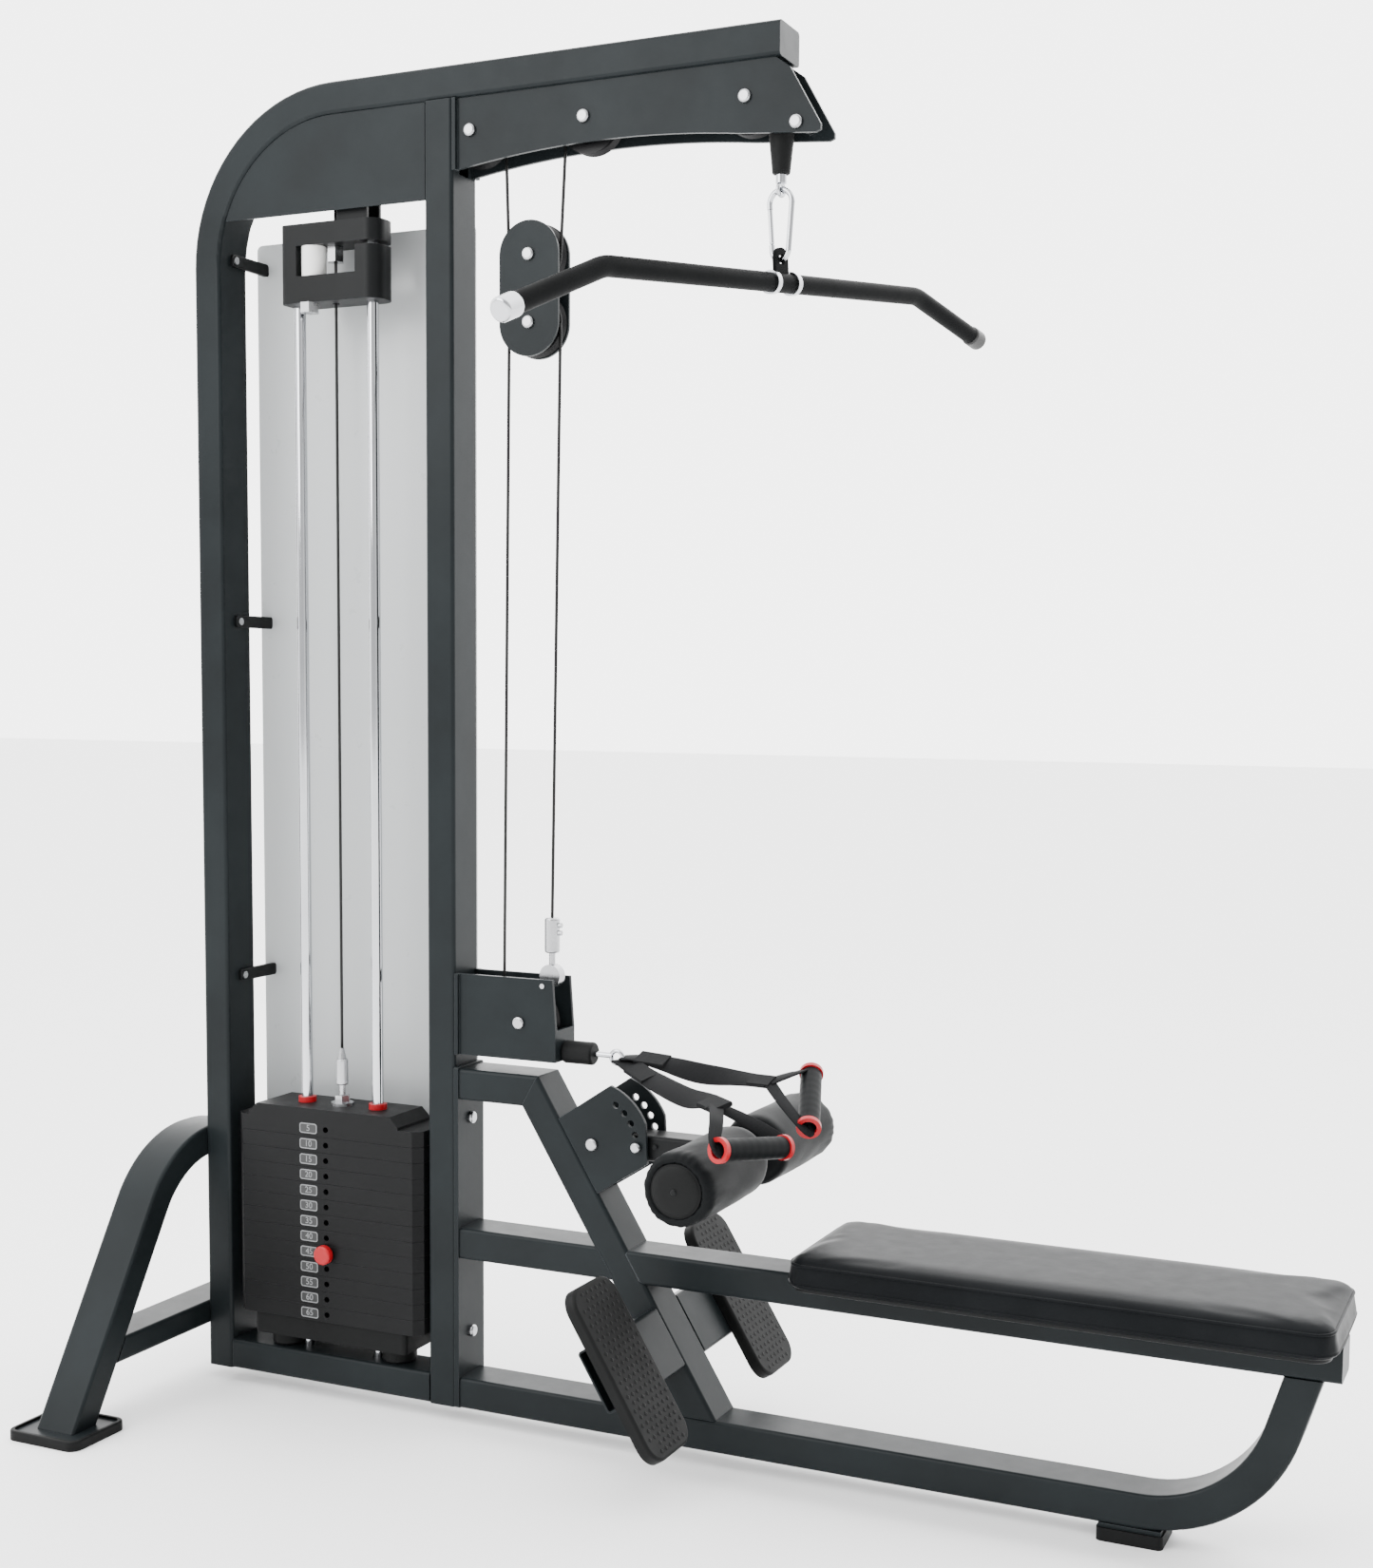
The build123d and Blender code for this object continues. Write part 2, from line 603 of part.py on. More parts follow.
def selector_stem():
    """Drilled stem through the stack, its nut and the cable terminal above."""
    z0 = TOP_PLATE_TOP
    stem = rod_z(STACK_X, 0, STEM_R, STACK_Z + 12, z0)
    stem += rod_z(STACK_X, 0, 19, z0, z0 + 5) + hex_nut(STACK_X, 0, z0 + 5, z0 + 17, 13, 0)
    stem += rod_z(STACK_X, 0, 5, z0 + 17, z0 + 34)
    body = fillet(rod_z(STACK_X, 0, 10, z0 + 34, z0 + 78).edges().filter_by(GeomType.CIRCLE), 3)
    stem += body + Pos(STACK_X, 0, z0 + 78 + 9) * Cone(7, 3.5, 18)
    for index in range(PLATES):
        z = STACK_Z + index * PITCH + PLATE_H / 2
        if z > STACK_Z + 20:
            stem -= rod_y(STACK_X, z, PIN_R + 0.08, -STEM_R - 1, STEM_R + 1)
    return stem


def selector_pin():
    z = STACK_Z + (PLATES - LIFTED) * PITCH + PLATE_H / 2
    knob = rod_y(STACK_X, z, 16, -PLATE_Y - 16, -PLATE_Y - 2)
    knob = fillet(knob.edges().filter_by(GeomType.CIRCLE), 4)
    shaft = rod_y(STACK_X, z, PIN_R, -PLATE_Y - 2, 9)
    return knob, shaft


# ---- pulleys, floating block and low housing ----

def pulley(centre):
    """Grooved wheel on an axle across the machine."""
    groove = CABLE_R + GAP
    half = PULLEY_W / 2
    side = half - 3
    rim = [(AXLE_R + FIT, -half), (14, -half), (16, -side + 3), (34, -side + 3), (36, -half + 1),
           (PULLEY_R, -half + 1), (PITCH_R, -groove), (PITCH_R - groove, -groove + 0.6)]
    pts = rim + [(r, -y) for r, y in reversed(rim)]
    face = make_face(Polyline(pts, close=True))
    wheel = revolve(Plane.XY * face, Axis.Y, 360)
    return Pos(centre[0], 0, centre[1]) * wheel


BLOCK_Y = 15.0
BLOCK_T = 5.0


def block_plate(side):
    mid = (BLOCK_UPPER[1] + BLOCK_LOWER[1]) / 2
    half = BLOCK_UPPER[1] - mid
    frame = Plane(origin=(BLOCK_X, side * BLOCK_Y, mid), x_dir=(0, 0, 1), z_dir=(0, side, 0))
    plate = extrude(frame * SlotCenterToCenter(2 * half, 102), amount=BLOCK_T)
    for x, z in (BLOCK_UPPER, BLOCK_LOWER):
        plate -= rod_y(x, z, AXLE_R + FIT, -BLOCK_Y - BLOCK_T - 1, BLOCK_Y + BLOCK_T + 1)
    return plate


def low_housing():
    """Folded housing on the front upright that carries the low pulley and the cable outlet."""
    z0, z1 = HOUSE_Z
    y = 26.0
    shell = None
    for side in (-1, 1):
        p0, p1 = sorted((side * y, side * (y + HOUSE_T)))
        wall = profile([(0, z0), (0, z1), (HOUSE_X, z1), (HOUSE_X + 6, z0 + 50), (HOUSE_X + 6, z0)], p0, p1)
        f0, f1 = sorted((side * y, side * WIDE / 2))
        wall += box(0, 6, f0, f1, z0, z1)
        shell = wall if shell is None else shell + wall
    shell += box(HOUSE_X, HOUSE_X + 6, -y, y, z0, z0 + 50)
    shell -= rod_y(*LOW_PULLEY, AXLE_R + FIT, -50, 50)
    shell -= rod_y(ANCHOR_X, ANCHOR_PIN_Z - 13, 4 + FIT, -50, 50)
    return shell - rod_x(0, LOW_Z, 7, HOUSE_X - 1, HOUSE_X + 7)


def cable_anchor():
    """Fixed end of the low cable: clamp body with two screws over an eye."""
    z = ANCHOR_PIN_Z
    eye = rod_y(ANCHOR_X, z, 18, -9, 9) - rod_y(ANCHOR_X, z - 13, 4 + FIT, -10, 10)
    neck = rod_z(ANCHOR_X, 0, 5, z + 12, z + 40)
    body = fillet(rod_z(ANCHOR_X, 0, 12, z + 36, ANCHOR_TOP).edges().filter_by(GeomType.CIRCLE), 4)
    part = eye + neck + body
    for dz in (12, 24):
        part += rod_x(0, ANCHOR_TOP - dz, 4, ANCHOR_X + 8, ANCHOR_X + 17)
    return part


# ---- cables ----

def tangent(a, ra, b, rb):
    """Strand between two wheels: its ends and the angle of its left-hand normal.

    A positive radius means that the strand passes on the left of that centre, going from a to b.
    """
    span = hypot(b[0] - a[0], b[1] - a[1])
    angle = atan2(b[1] - a[1], b[0] - a[0]) + acos((ra - rb) / span)
    n = (cos(angle), sin(angle))
    start = (a[0] + ra * n[0], a[1] + ra * n[1])
    end = (b[0] + rb * n[0], b[1] + rb * n[1])
    return start, end, degrees(angle)


def cable_run(a, b):
    """Straight strand between two points of the side plane."""
    angle = degrees(atan2(b[1] - a[1], b[0] - a[0]))
    length = hypot(b[0] - a[0], b[1] - a[1])
    return extrude(side_plane(*a, angle) * Circle(CABLE_R), amount=length)


def cable_wrap(centre, start, turn):
    """Cable around a pulley: start angle and turn in degrees, up from +X."""
    a = radians(start)
    x, z = centre[0] + PITCH_R * cos(a), centre[1] + PITCH_R * sin(a)
    face = side_plane(x, z, start + 90) * Circle(CABLE_R)
    axis = Axis((centre[0], 0, centre[1]), (0, -1, 0) if turn > 0 else (0, 1, 0))
    return revolve(face, axis, abs(turn))


ANCHOR = (ANCHOR_X, ANCHOR_TOP + 0.2)
STRAND_UPPER_RIGHT = tangent(BLOCK_UPPER, -PITCH_R, MID_PULLEY, PITCH_R)
STRAND_UPPER_LEFT = tangent(BLOCK_UPPER, PITCH_R, REAR_PULLEY, -PITCH_R)
STRAND_LOW_LEFT = tangent(LOW_PULLEY, PITCH_R, BLOCK_LOWER, PITCH_R)
STRAND_LOW_RIGHT = tangent(ANCHOR, 0, BLOCK_LOWER, -PITCH_R)


def cable_fixed():
    """Cable that keeps its place while it runs: over the arm and under the low pulley."""
    top = ARM_Z + PITCH_R
    mid_end = STRAND_UPPER_RIGHT[2]
    rear_end = STRAND_UPPER_LEFT[2] - 180
    lat = cable_wrap(FRONT_PULLEY, 0, 90) + cable_run((FRONT_PULLEY[0], top), (MID_PULLEY[0], top))
    lat += cable_wrap(MID_PULLEY, 90, mid_end - 90)
    stack = cable_wrap(REAR_PULLEY, rear_end, 90 - rear_end)
    stack += cable_run((REAR_PULLEY[0], top), (STACK_PULLEY[0], top)) + cable_wrap(STACK_PULLEY, 90, 90)
    low = cable_wrap(LOW_PULLEY, STRAND_LOW_LEFT[2], 270 - STRAND_LOW_LEFT[2])
    low += cable_run((LOW_PULLEY[0], LOW_Z), (HOUSE_X - 4, LOW_Z))
    return lat, stack, low


def cable_strands():
    """Straight strands that grow or shrink as the machine is used."""
    ends = [STRAND_UPPER_RIGHT, STRAND_UPPER_LEFT, STRAND_LOW_LEFT, STRAND_LOW_RIGHT]
    return [cable_run(start, end) for start, end, angle in ends] + [
        cable_run((STACK_X, TERMINAL_TOP), (STACK_X, ARM_Z)),
        cable_run((LAT_X, LAT_STOP_Z[1]), (LAT_X, ARM_Z)),
        cable_run((HOUSE_X - 4, LOW_Z), (LOW_STOP_X[0], LOW_Z))]


def cable_block_wraps():
    upper_start = STRAND_UPPER_LEFT[2]
    upper_turn = STRAND_UPPER_RIGHT[2] + 180 - upper_start
    lower_start = STRAND_LOW_RIGHT[2] - 180
    lower_turn = STRAND_LOW_LEFT[2] - lower_start
    return cable_wrap(BLOCK_UPPER, upper_start, upper_turn), cable_wrap(BLOCK_LOWER, lower_start, lower_turn)


# ---- pull-down station ----

def turned(shape):
    """Swings a piece drawn along X about the pull-down cable's line."""
    return Pos(LAT_X, 0, 0) * Rot(0, 0, BAR_TURN) * shape


def tilted(shape):
    """Rocks a piece of the bar about its tab hole, then swings it."""
    return turned(Pos(0, 0, TAB_HOLE_Z) * Rot(0, -BAR_TILT, 0) * Pos(0, 0, -TAB_HOLE_Z) * shape)


LAT_STOP_Z = (1932.0, 1992.0)


def lat_stop():
    z0, z1 = LAT_STOP_Z
    cone = Pos(LAT_X, 0, (z0 + z1) / 2) * Cone(13, 19, z1 - z0)
    return fillet(cone.edges().filter_by(GeomType.CIRCLE), 4)


def carabiner_points():
    return {"low_r": 14.0, "low_z": TAB_HOLE_Z + 14, "top_r": 19.0, "top_z": TAB_HOLE_Z + 80}


def lat_carabiner():
    """Snap hook, and the swivel eye that it hangs from."""
    c = carabiner_points()
    wire_r = 4.2
    side = (c["top_r"] - c["low_r"]) / (c["top_z"] - c["low_z"])
    gate_low, gate_high = c["low_z"] + 8, c["top_z"] - 8
    p_low = (c["low_r"] + side * 8, gate_low - 0.4)
    p_high = (c["top_r"] - side * 8, gate_high + 0.4)
    line_a = Line(p_low, (c["low_r"], c["low_z"]))
    arc_low = ThreePointArc((c["low_r"], c["low_z"]), (0, c["low_z"] - c["low_r"]), (-c["low_r"], c["low_z"]))
    spine = Line((-c["low_r"], c["low_z"]), (-c["top_r"], c["top_z"]))
    arc_top = ThreePointArc((-c["top_r"], c["top_z"]), (0, c["top_z"] + c["top_r"]), (c["top_r"], c["top_z"]))
    line_b = Line((c["top_r"], c["top_z"]), p_high)
    path = Wire([line_a.edge(), *arc_low.edges(), spine.edge(), *arc_top.edges(), line_b.edge()])
    frame = Plane(origin=(0, 0, 0), x_dir=(0, 1, 0), z_dir=(1, 0, 0))
    path = frame * path
    hook = sweep(Plane(origin=path @ 0, z_dir=path % 0) * Circle(wire_r), path=path)
    top_wire = c["top_z"] + c["top_r"]
    eye = Pos(0, 0, top_wire) * Rot(90, 0, 0) * Torus(8.5, 3)
    barrel = rod_z(0, 0, 8, top_wire + 9, LAT_STOP_Z[0] - 0.4)
    return turned(hook), turned(eye + barrel)


def carabiner_gate():
    """Sprung gate with a ball end at its pivot."""
    c = carabiner_points()
    r = 3.6
    side = (c["top_r"] - c["low_r"]) / (c["top_z"] - c["low_z"])
    z0, z1 = c["low_z"] + 8 + r, c["top_z"] - 8
    y0, y1 = c["low_r"] + side * 8, c["top_r"] - side * 8
    length = hypot(y1 - y0, z1 - z0)
    frame = Plane(origin=(0, y0, z0), x_dir=(1, 0, 0), z_dir=(0, y1 - y0, z1 - z0))
    return turned(extrude(frame * Circle(r), amount=length) + Pos(0, y0, z0) * Sphere(r))


def lat_bar():
    """Bent pull-down bar with its eye tab."""
    low = BAR_Z - BAR_DROP
    cap = 34.0
    flat = BAR_HALF - BAR_FLAT
    k = (flat - cap) / flat
    end_x, end_z = BAR_FLAT + flat * k, BAR_Z - BAR_DROP * k
    path = FilletPolyline((-end_x, end_z), (-BAR_FLAT, BAR_Z), (BAR_FLAT, BAR_Z), (end_x, end_z), radius=90)
    frame = Plane(origin=(0, 0, 0), x_dir=(1, 0, 0), z_dir=(0, -1, 0))
    path = frame * path
    bar = Pos(BAR_SHIFT, 0, 0) * sweep(Plane(origin=path @ 0, z_dir=path % 0) * Circle(BAR_R), path=path)
    tab = box(-17, 17, -3, 3, BAR_Z + 8, TAB_HOLE_Z + 2) + rod_y(0, TAB_HOLE_Z, 17, -3, 3)
    bar += tab - rod_y(0, TAB_HOLE_Z, 8, -4, 4)
    return tilted(bar)


def bar_fittings():
    """Two collars beside the tab and the two end caps."""
    parts = []
    for s in (-28, 28):
        ring = rod_x(0, BAR_Z, BAR_R + 3, s - 5, s + 5) - rod_x(0, BAR_Z, BAR_R + FIT, s - 6, s + 6)
        parts.append(tilted(ring))
    flat = BAR_HALF - BAR_FLAT
    k = (flat - 34.0) / flat
    for s in (-1, 1):
        x, z = BAR_FLAT + flat * k, BAR_Z - BAR_DROP * k
        slope = degrees(atan2(-BAR_DROP, flat))
        angle = slope if s > 0 else 180 - slope
        cap = extrude(side_plane(s * x + BAR_SHIFT, z, angle) * Circle(BAR_R + 2), amount=34)
        parts.append(tilted(fillet(cap.edges().filter_by(GeomType.CIRCLE), 5)))
    return parts


# ---- low row handles ----

LOW_STOP_X = (HOUSE_X + 6.5, 233.0)
RING_X = 272.0
GRIP_A = ((562.0, -255.0, 552.0), (602.0, -128.0, 534.0))
GRIP_B = ((615.0, -56.0, 553.0), (575.0, 55.0, 606.0))
GRIP_R = 16.0
GRIP_WALL = 4.0


def low_stop():
    stop = rod_x(0, LOW_Z, 18, *LOW_STOP_X)
    return fillet(stop.edges().filter_by(GeomType.CIRCLE), 4)


def low_link():
    rod = rod_x(0, LOW_Z, 4.5, LOW_STOP_X[1], RING_X - 8)
    ring = Pos(RING_X, 0, LOW_Z - 2) * Rot(90, 0, 0) * Torus(10, 3.5)
    return rod + ring


def grip_frame(ends):
    a, b = (Vector(*p) for p in ends)
    return Plane(origin=a, z_dir=b - a), (b - a).length


def grip(ends):
    frame, length = grip_frame(ends)
    return extrude(frame * (Circle(GRIP_R) - Circle(GRIP_R - GRIP_WALL)), amount=length)


def grip_rings(ends):
    frame, length = grip_frame(ends)
    rings = []
    for start in (-7.0, length):
        local = Plane(origin=frame.origin + frame.z_dir * start, z_dir=frame.z_dir)
        rings.append(extrude(local * (Circle(GRIP_R + 2.5) - Circle(GRIP_R - GRIP_WALL)), amount=7))
    return rings


def strap(points, heading, width=36.0, thick=4.0):
    """Webbing band: points are (distance, height) from the ring, heading swings it about Z."""
    upper = [(x, z + thick / 2) for x, z in points]
    lower = [(x, z - thick / 2) for x, z in reversed(points)]
    band = profile(upper + lower, -width / 2, width / 2)
    return Pos(RING_X, 0, LOW_Z) * Rot(0, 0, heading) * band


NEAR_STRAP = [(14, -6), (90, -20), (180, -34), (262, -62), (300, -74)]
FAR_STRAP = [(14, 6), (90, 2), (170, -12), (240, -20), (296, -26)]


def main():
    os.makedirs("parts", exist_ok=True)
    frame_tube = main_tube()
    save("main_tube", frame_tube)
    save("front_upright", front_upright())
    save("stack_base_tube", stack_base_tube())
    save("arm_plates", arm_plate(-1), arm_plate(1))
    save("header_panel", header_panel())
    save("shroud_panel", shroud_panel())
    save("shroud_clips", *shroud_clips(frame_tube))
    save("rod_head", rod_head())
    save("head_roller", head_roller())
    save("guide_rods", *guide_rods())
    save("stack_bumpers", *stack_bumpers())
    save("rear_legs", rear_legs())
    save("rear_crossbar", rear_crossbar())
    save("foot_plates", *foot_plates())
    save("foot_shoes", *foot_shoes())
    save("seat_flange", seat_flange())
    save("seat_top_tube", seat_top_tube())
    save("diagonal_post", diagonal_run(tube))
    save("seat_rail", seat_rail())
    save("seat_base_tube", seat_base_tube())
    save("footrest_tube", stub_tube(-1), stub_tube(1))
    save("footplates", footplate(-1), footplate(1))
    save("sector_plates", sector_plate(-1), sector_plate(1))
    save("low_housing", low_housing())
    save("cable_anchor", cable_anchor())
    save("seat_pad", seat_pad())

    arm_bolts = [bolt_y(x, z, PLATE_IN + PLATE_T)
                 for x, z in (REAR_PULLEY, MID_PULLEY, FRONT_PULLEY, ARM_BOLT)]
    save("axle_bolts", *arm_bolts, bolt_y(*STACK_PULLEY, 21), bolt_y(*LOW_PULLEY, 32),
         bolt_y(*PIVOT, WIDE / 2), rod_y(ANCHOR_X, ANCHOR_PIN_Z - 13, 4, -34, 34))
    save("small_fasteners", *flange_bolts(), *clip_screws(),
         hex_nut(STACK_X, 0, HEAD_GAP[1] - 25, HEAD_GAP[1], 14, 4),
         hex_nut(-276, -22, HEAD_Z[0] - 16, HEAD_Z[0], 16, 0))

    save("weights_resting", *[weight_plate(i) for i in range(PLATES - LIFTED)])
    save("weights_lifted", *[weight_plate(i) for i in range(PLATES - LIFTED, PLATES)])
    save("top_plate", top_plate())
    save("rod_bushes", *rod_bushes())
    save("selector_stem", selector_stem())
    save("selector_pin", *selector_pin())

    wheels = {"pulley_stack": STACK_PULLEY, "pulley_rear": REAR_PULLEY, "pulley_mid": MID_PULLEY,
              "pulley_front": FRONT_PULLEY, "pulley_block_upper": BLOCK_UPPER,
              "pulley_block_lower": BLOCK_LOWER, "pulley_low": LOW_PULLEY}
    for name, centre in wheels.items():
        save(name, pulley(centre))
    save("block_plates", block_plate(-1), block_plate(1))
    save("block_bolts", bolt_y(*BLOCK_UPPER, BLOCK_Y + BLOCK_T), bolt_y(*BLOCK_LOWER, BLOCK_Y + BLOCK_T))

    save("cable_fixed", *cable_fixed())
    save("cable_strands", *cable_strands())
    save("cable_block_wraps", *cable_block_wraps())

    save("lat_stop", lat_stop())
    save("lat_carabiner", *lat_carabiner())
    save("carabiner_gate", carabiner_gate())
    save("lat_bar", lat_bar())
    save("bar_fittings", *bar_fittings())

    save("low_stop", low_stop())
    save("low_link", low_link())
    save("handle_straps", strap(NEAR_STRAP, -32), strap(FAR_STRAP, 0))
    save("handle_grips", grip(GRIP_A), grip(GRIP_B))
    save("grip_rings", *grip_rings(GRIP_A), *grip_rings(GRIP_B))

    save("roller_arm", roller_arm())
    save("roller_near", roller(-1))
    save("roller_far", roller(1))
    save("roller_pin", roller_pin())


main()
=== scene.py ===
from math import atan2, cos, pi, radians, sin, sqrt

import bmesh
import bpy
from mathutils import Matrix, Vector
from mathutils.bvhtree import BVHTree


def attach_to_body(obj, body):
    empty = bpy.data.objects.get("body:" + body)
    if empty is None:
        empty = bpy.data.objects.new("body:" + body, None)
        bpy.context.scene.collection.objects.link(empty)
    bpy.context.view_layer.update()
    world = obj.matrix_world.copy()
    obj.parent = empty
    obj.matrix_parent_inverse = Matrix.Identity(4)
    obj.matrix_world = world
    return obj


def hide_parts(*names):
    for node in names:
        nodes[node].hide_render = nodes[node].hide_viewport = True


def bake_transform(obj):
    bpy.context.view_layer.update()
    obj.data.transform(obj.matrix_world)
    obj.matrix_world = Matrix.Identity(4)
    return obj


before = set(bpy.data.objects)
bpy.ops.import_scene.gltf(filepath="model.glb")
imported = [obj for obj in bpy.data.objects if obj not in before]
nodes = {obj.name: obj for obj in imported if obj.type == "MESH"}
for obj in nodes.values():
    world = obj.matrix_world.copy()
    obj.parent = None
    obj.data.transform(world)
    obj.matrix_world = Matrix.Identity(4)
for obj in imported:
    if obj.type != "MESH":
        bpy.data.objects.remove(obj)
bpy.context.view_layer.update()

# The machine's working axes: X = 0 at the front upright, in millimetres.
ORIGIN_X = 388.75


def P(x, y, z):
    """Working millimetres to metres in the machine's frame."""
    return Vector(((x - ORIGIN_X) / 1000, y / 1000, z / 1000))


# ---- camera ----

YAW, PITCH, ROLL = radians(24.75), radians(5.1), radians(0.41)
CAMERA_AT = (1.29512, -2.80919, 1.19487)
LENS_MM = 46.87
SHIFT_Y = 0.0533
CLIP_END = 100


def aimed_camera():
    """Camera turned left of the machine's long side, tilted down and rolled a little."""
    forward = Vector((-sin(YAW) * cos(PITCH), cos(YAW) * cos(PITCH), -sin(PITCH)))
    level = Vector((cos(YAW), sin(YAW), 0))
    above = level.cross(forward)
    right = level * cos(ROLL) + above * sin(ROLL)
    top = above * cos(ROLL) - level * sin(ROLL)
    data = bpy.data.cameras.new("camera")
    data.sensor_width = 36
    data.lens = LENS_MM
    data.shift_y = SHIFT_Y
    data.clip_end = CLIP_END
    obj = bpy.data.objects.new("camera", data)
    bpy.context.scene.collection.objects.link(obj)
    turn = Matrix((right, top, -forward)).transposed().to_4x4()
    obj.matrix_world = Matrix.Translation(CAMERA_AT) @ turn
    return obj


bpy.context.scene.camera = aimed_camera()


# ---- materials ----

def new_material(name):
    """Material, its node tree and its main shader."""
    mat = bpy.data.materials.new(name)
    mat.use_nodes = True
    tree = mat.node_tree
    return mat, tree, tree.nodes["Principled BSDF"]


def add(tree, kind, **inputs):
    """New node with the named inputs set: an underscore stands for a space."""
    node = tree.nodes.new(kind)
    for key, value in inputs.items():
        node.inputs[key.replace("_", " ")].default_value = value
    return node


def math_node(tree, operation, a, b=None):
    node = tree.nodes.new("ShaderNodeMath")
    node.operation = operation
    for socket, value in zip(node.inputs, (a, b)):
        if value is None:
            continue
        if isinstance(value, (int, float)):
            socket.default_value = value
        else:
            tree.links.new(value, socket)
    return node.outputs[0]


def noise(tree, scale, detail=3.0, rough=0.55, vector="Object"):
    coord = tree.nodes.new("ShaderNodeTexCoord")
    node = add(tree, "ShaderNodeTexNoise", Scale=scale, Detail=detail, Roughness=rough)
    tree.links.new(coord.outputs[vector], node.inputs["Vector"])
    return node.outputs["Fac"]


def ramp(tree, fac, low, high, start=0.35, end=0.65):
    node = tree.nodes.new("ShaderNodeValToRGB")
    node.color_ramp.elements[0].position = start
    node.color_ramp.elements[1].position = end
    node.color_ramp.elements[0].color = (*low, 1)
    node.color_ramp.elements[1].color = (*high, 1)
    tree.links.new(fac, node.inputs["Fac"])
    return node.outputs["Color"]


def spread(tree, fac, low, high):
    node = add(tree, "ShaderNodeMapRange")
    node.inputs["To Min"].default_value = low
    node.inputs["To Max"].default_value = high
    tree.links.new(fac, node.inputs["Value"])
    return node.outputs["Result"]


def bump(tree, bsdf, height, strength, distance, normal=None):
    node = add(tree, "ShaderNodeBump", Strength=strength, Distance=distance)
    tree.links.new(height, node.inputs["Height"])
    if normal is not None:
        tree.links.new(normal, node.inputs["Normal"])
    tree.links.new(node.outputs["Normal"], bsdf.inputs["Normal"])
    return node.outputs["Normal"]


def tone(color, factor):
    return tuple(c * factor for c in color)


def surface(name, color, rough, grain=900.0, grain_strength=0.1, grain_depth=0.0002, metal=0.0,
            drift=0.18, rough_drift=0.08, shine=0.5):
    """Colour and roughness that drift slowly, over a fine surface grain."""
    mat, tree, bsdf = new_material(name)
    slow = noise(tree, 5.0, 4.0)
    shade = ramp(tree, slow, tone(color, 1 - drift), tone(color, 1 + drift))
    tree.links.new(shade, bsdf.inputs["Base Color"])
    smear = noise(tree, 28.0, 5.0, 0.65)
    tree.links.new(spread(tree, smear, rough - rough_drift, rough + rough_drift), bsdf.inputs["Roughness"])
    bsdf.inputs["Metallic"].default_value = metal
    bsdf.inputs["Specular IOR Level"].default_value = shine
    bump(tree, bsdf, noise(tree, grain, 2.0), grain_strength, grain_depth)
    return mat


def worn_edges(mat, color, radius=0.0016, amount=0.5):
    """Rounds the normal at hard edges and lightens their colour there, a painted highlight along the edges.
    """
    tree = mat.node_tree
    bsdf = tree.nodes["Principled BSDF"]
    bevel = add(tree, "ShaderNodeBevel", Radius=radius)
    bevel.samples = 4
    geometry = tree.nodes.new("ShaderNodeNewGeometry")
    dot = tree.nodes.new("ShaderNodeVectorMath")
    dot.operation = "DOT_PRODUCT"
    tree.links.new(bevel.outputs["Normal"], dot.inputs[0])
    tree.links.new(geometry.outputs["Normal"], dot.inputs[1])
    edge = math_node(tree, "SUBTRACT", 1.0, dot.outputs["Value"])
    edge = math_node(tree, "MULTIPLY", edge, amount * 3)
    old = bsdf.inputs["Base Color"].links[0].from_socket
    # Painted highlight: the lighter colour is mixed into the base colour along the edges.
    mix = tree.nodes.new("ShaderNodeMix")
    mix.data_type = "RGBA"
    for socket in mix.inputs:
        if socket.type == "RGBA" and socket.name == "B":
            socket.default_value = (*color, 1)
        if socket.type == "RGBA" and socket.name == "A":
            tree.links.new(old, socket)
    clamp = tree.nodes.new("ShaderNodeClamp")
    tree.links.new(edge, clamp.inputs["Value"])
    tree.links.new(clamp.outputs["Result"], mix.inputs["Factor"])
    result = [socket for socket in mix.outputs if socket.type == "RGBA"][0]
    tree.links.new(result, bsdf.inputs["Base Color"])
    for node in tree.nodes:
        if node.type == "BUMP":
            tree.links.new(bevel.outputs["Normal"], node.inputs["Normal"])
    return mat


GRAPHITE = (0.0082, 0.0105, 0.0115)
BLACK = (0.0035, 0.0040, 0.0043)
CHROME = (0.50, 0.51, 0.53)

# The second colour of each call below is the painted highlight along the edges.
paint = worn_edges(surface("graphite_powder_coat", GRAPHITE, rough=0.36, grain=1400, grain_strength=0.10,
                           shine=0.09), (0.07, 0.08, 0.085))
black_paint = worn_edges(surface("black_powder_coat", BLACK, rough=0.42, grain=1400, grain_strength=0.12,
                                 shine=0.12), (0.035, 0.038, 0.04))
bar_paint = surface("bar_powder_coat", (0.0024, 0.0027, 0.0029), rough=0.52, grain=1400, grain_strength=0.02,
                    grain_depth=0.0001, shine=0.02)
weight_paint = worn_edges(surface("weight_paint", (0.0040, 0.0042, 0.0045), rough=0.46, grain=700,
                                  grain_strength=0.16, grain_depth=0.0003, shine=0.12),
                          (0.03, 0.032, 0.034), radius=0.001)
chrome = surface("chrome", CHROME, rough=0.10, grain=300, grain_strength=0.02, grain_depth=0.0001, metal=1.0,
                 drift=0.05, rough_drift=0.05)
zinc = surface("bright_zinc", (0.38, 0.385, 0.395), rough=0.27, grain=800, grain_strength=0.06,
               grain_depth=0.0001, metal=1.0, drift=0.12)
rubber = surface("moulded_rubber", (0.0042, 0.0045, 0.0046), rough=0.58, grain=1100, grain_strength=0.25,
                 grain_depth=0.0003, shine=0.10)
foam = surface("foam_skin", (0.0042, 0.0048, 0.0052), rough=0.5, grain=1600, grain_strength=0.25,
               grain_depth=0.0003, shine=0.05)
red = surface("red_plastic", (0.32, 0.005, 0.010), rough=0.34, grain=500, grain_strength=0.05,
              grain_depth=0.0001, drift=0.1, shine=0.25)
nylon = surface("natural_nylon", (0.74, 0.74, 0.72), rough=0.45, grain=700, drift=0.04)
wheel_plastic = surface("wheel_nylon", (0.004, 0.004, 0.0045), rough=0.40, grain=700, grain_strength=0.15,
                        shine=0.2)
